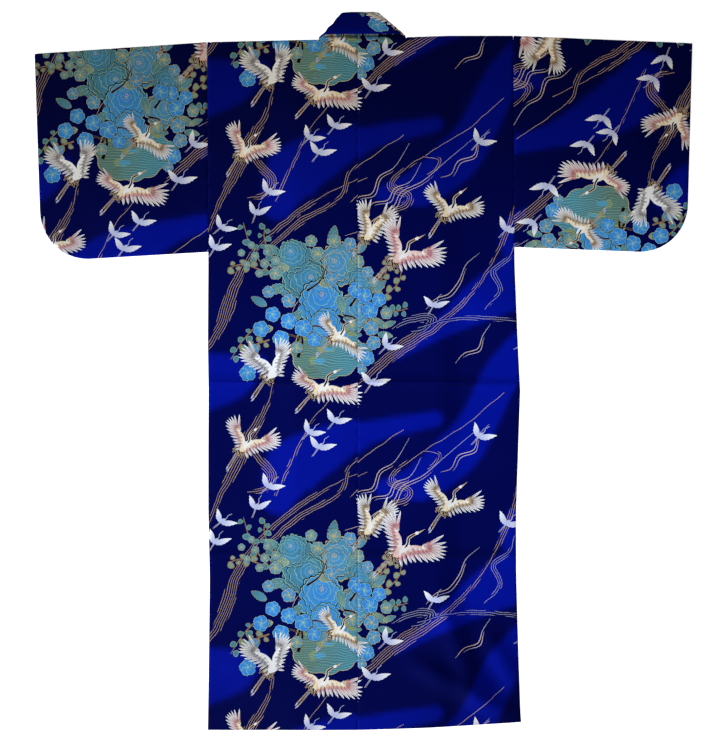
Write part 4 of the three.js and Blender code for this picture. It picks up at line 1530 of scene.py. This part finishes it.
def plain_floor(context):
    """A floor that stays pale in shadow."""
    return finished(Nodes("plain_floor"), {
        "Base Color": (*context.scene.yukata_colours.floor, 1), "Roughness": 0.9,
        "Emission Color": (1, 1, 1, 1), "Emission Strength": 0.80, "Specular IOR Level": 0.1,
    })


# ---- Operators ---------------------------------------------------------------------------------

FLOOR_SIZE, FLOOR_TOP = 60.0, -0.0004  # metres
# Lamps, in metres and watts: name, kind, place, point in its light, settings.
LAMPS = (
    ("light_over", "SPOT", (0, -0.2, 5.2), (0, -0.2, 0), {
        "energy": 540.0, "spot_size": math.radians(25), "spot_blend": 1.0,
        "shadow_soft_size": 0.35}),
    ("light_side", "SUN", (-2.4, -1.6, 0.9), (0, -0.1, 0.4), {
        "energy": 7.4, "angle": math.radians(10)}),
)
ROOM_COLOUR, ROOM_STRENGTH = (0.94, 0.96, 1.0, 1), 0.14
CAMERA_Y, SENSOR = 0.0041, 36.0  # metres, and millimetres on the sensor


class YUKATA_OT_stage(bpy.types.Operator):
    """Pale floor, soft light from above and the camera straight over the garment"""

    bl_idname = "yukata.stage"
    bl_label = "Floor, light and camera"

    def execute(self, context):
        sizes = context.scene.yukata_sizes
        bpy.ops.object.select_all(action="DESELECT")
        bpy.ops.mesh.primitive_plane_add(size=FLOOR_SIZE, location=(0, 0, FLOOR_TOP))
        floor = context.object
        floor.name = "floor"
        floor.data.materials.append(plain_floor(context))

        for name, kind, place, lit, settings in LAMPS:
            bpy.ops.object.light_add(type=kind, location=place)
            lamp = context.object
            lamp.name = name
            way = Vector(lit) - Vector(place)
            lamp.rotation_euler = way.to_track_quat("-Z", "Y").to_euler()
            for setting, value in settings.items():
                setattr(lamp.data, setting, value)
        world = bpy.data.worlds.new("soft_room")
        world.use_nodes = True
        background = world.node_tree.nodes["Background"]
        background.inputs["Color"].default_value = ROOM_COLOUR
        background.inputs["Strength"].default_value = ROOM_STRENGTH
        context.scene.world = world

        bpy.ops.object.camera_add(location=(0, CAMERA_Y, sizes.camera_distance), rotation=(0, 0, 0))
        camera = context.object
        camera.name = "camera"
        camera.data.sensor_fit = "VERTICAL"
        camera.data.sensor_height = SENSOR
        camera.data.lens = SENSOR * sizes.camera_distance / sizes.view_height
        camera.data.clip_end = 50.0
        context.scene.camera = camera
        context.scene.view_settings.view_transform = "Standard"
        return {"FINISHED"}


class YUKATA_OT_body(bpy.types.Operator):
    """Back and fronts: two lengths of cloth, each folded over its shoulder"""

    bl_idname = "yukata.body"
    bl_label = "Body"

    def execute(self, context):
        for name in HALVES:
            make_cloth(context, body_piece(context, name))
        return {"FINISHED"}


class YUKATA_OT_okumi(bpy.types.Operator):
    """Overlap panels along the front edges"""

    bl_idname = "yukata.okumi"
    bl_label = "Overlap panels"

    def execute(self, context):
        for name in HALVES:
            make_cloth(context, okumi_piece(name))
        return {"FINISHED"}


class YUKATA_OT_sleeves(bpy.types.Operator):
    """Both sleeves, folded at the top, with round outer corners"""

    bl_idname = "yukata.sleeves"
    bl_label = "Sleeves"

    def execute(self, context):
        for name in SLEEVES:
            make_cloth(context, sleeve_piece(context, name))
        return {"FINISHED"}


class YUKATA_OT_collar(bpy.types.Operator):
    """The collar band round the neck and down both fronts"""

    bl_idname = "yukata.collar"
    bl_label = "Collar"

    def execute(self, context):
        make_cloth(context, collar_piece())
        return {"FINISHED"}


class YUKATA_PT_pieces(bpy.types.Panel):
    """Lists the garment's pieces, sizes and colours"""

    bl_idname = "YUKATA_PT_pieces"
    bl_label = "Laid yukata"
    bl_space_type = "VIEW_3D"
    bl_region_type = "UI"
    bl_category = "Yukata"

    def draw(self, context):
        layout = self.layout
        for operator in OPERATORS:
            layout.operator(operator.bl_idname)
        for group in (context.scene.yukata_sizes, context.scene.yukata_colours):
            box = layout.box()
            for name in group.__annotations__:
                box.prop(group, name)


OPERATORS = (YUKATA_OT_stage, YUKATA_OT_body, YUKATA_OT_okumi, YUKATA_OT_sleeves, YUKATA_OT_collar)
CLASSES = (YukataSizes, YukataColours, *OPERATORS, YUKATA_PT_pieces)


def register():
    for made in CLASSES:
        bpy.utils.register_class(made)
    bpy.types.Scene.yukata_sizes = bpy.props.PointerProperty(type=YukataSizes)
    bpy.types.Scene.yukata_colours = bpy.props.PointerProperty(type=YukataColours)


def unregister():
    del bpy.types.Scene.yukata_colours
    del bpy.types.Scene.yukata_sizes
    for made in reversed(CLASSES):
        bpy.utils.unregister_class(made)


def main():
    register()
    bpy.ops.yukata.stage()
    bpy.ops.yukata.body()
    bpy.ops.yukata.okumi()
    bpy.ops.yukata.sleeves()
    bpy.ops.yukata.collar()


if __name__ == "__main__":
    main()
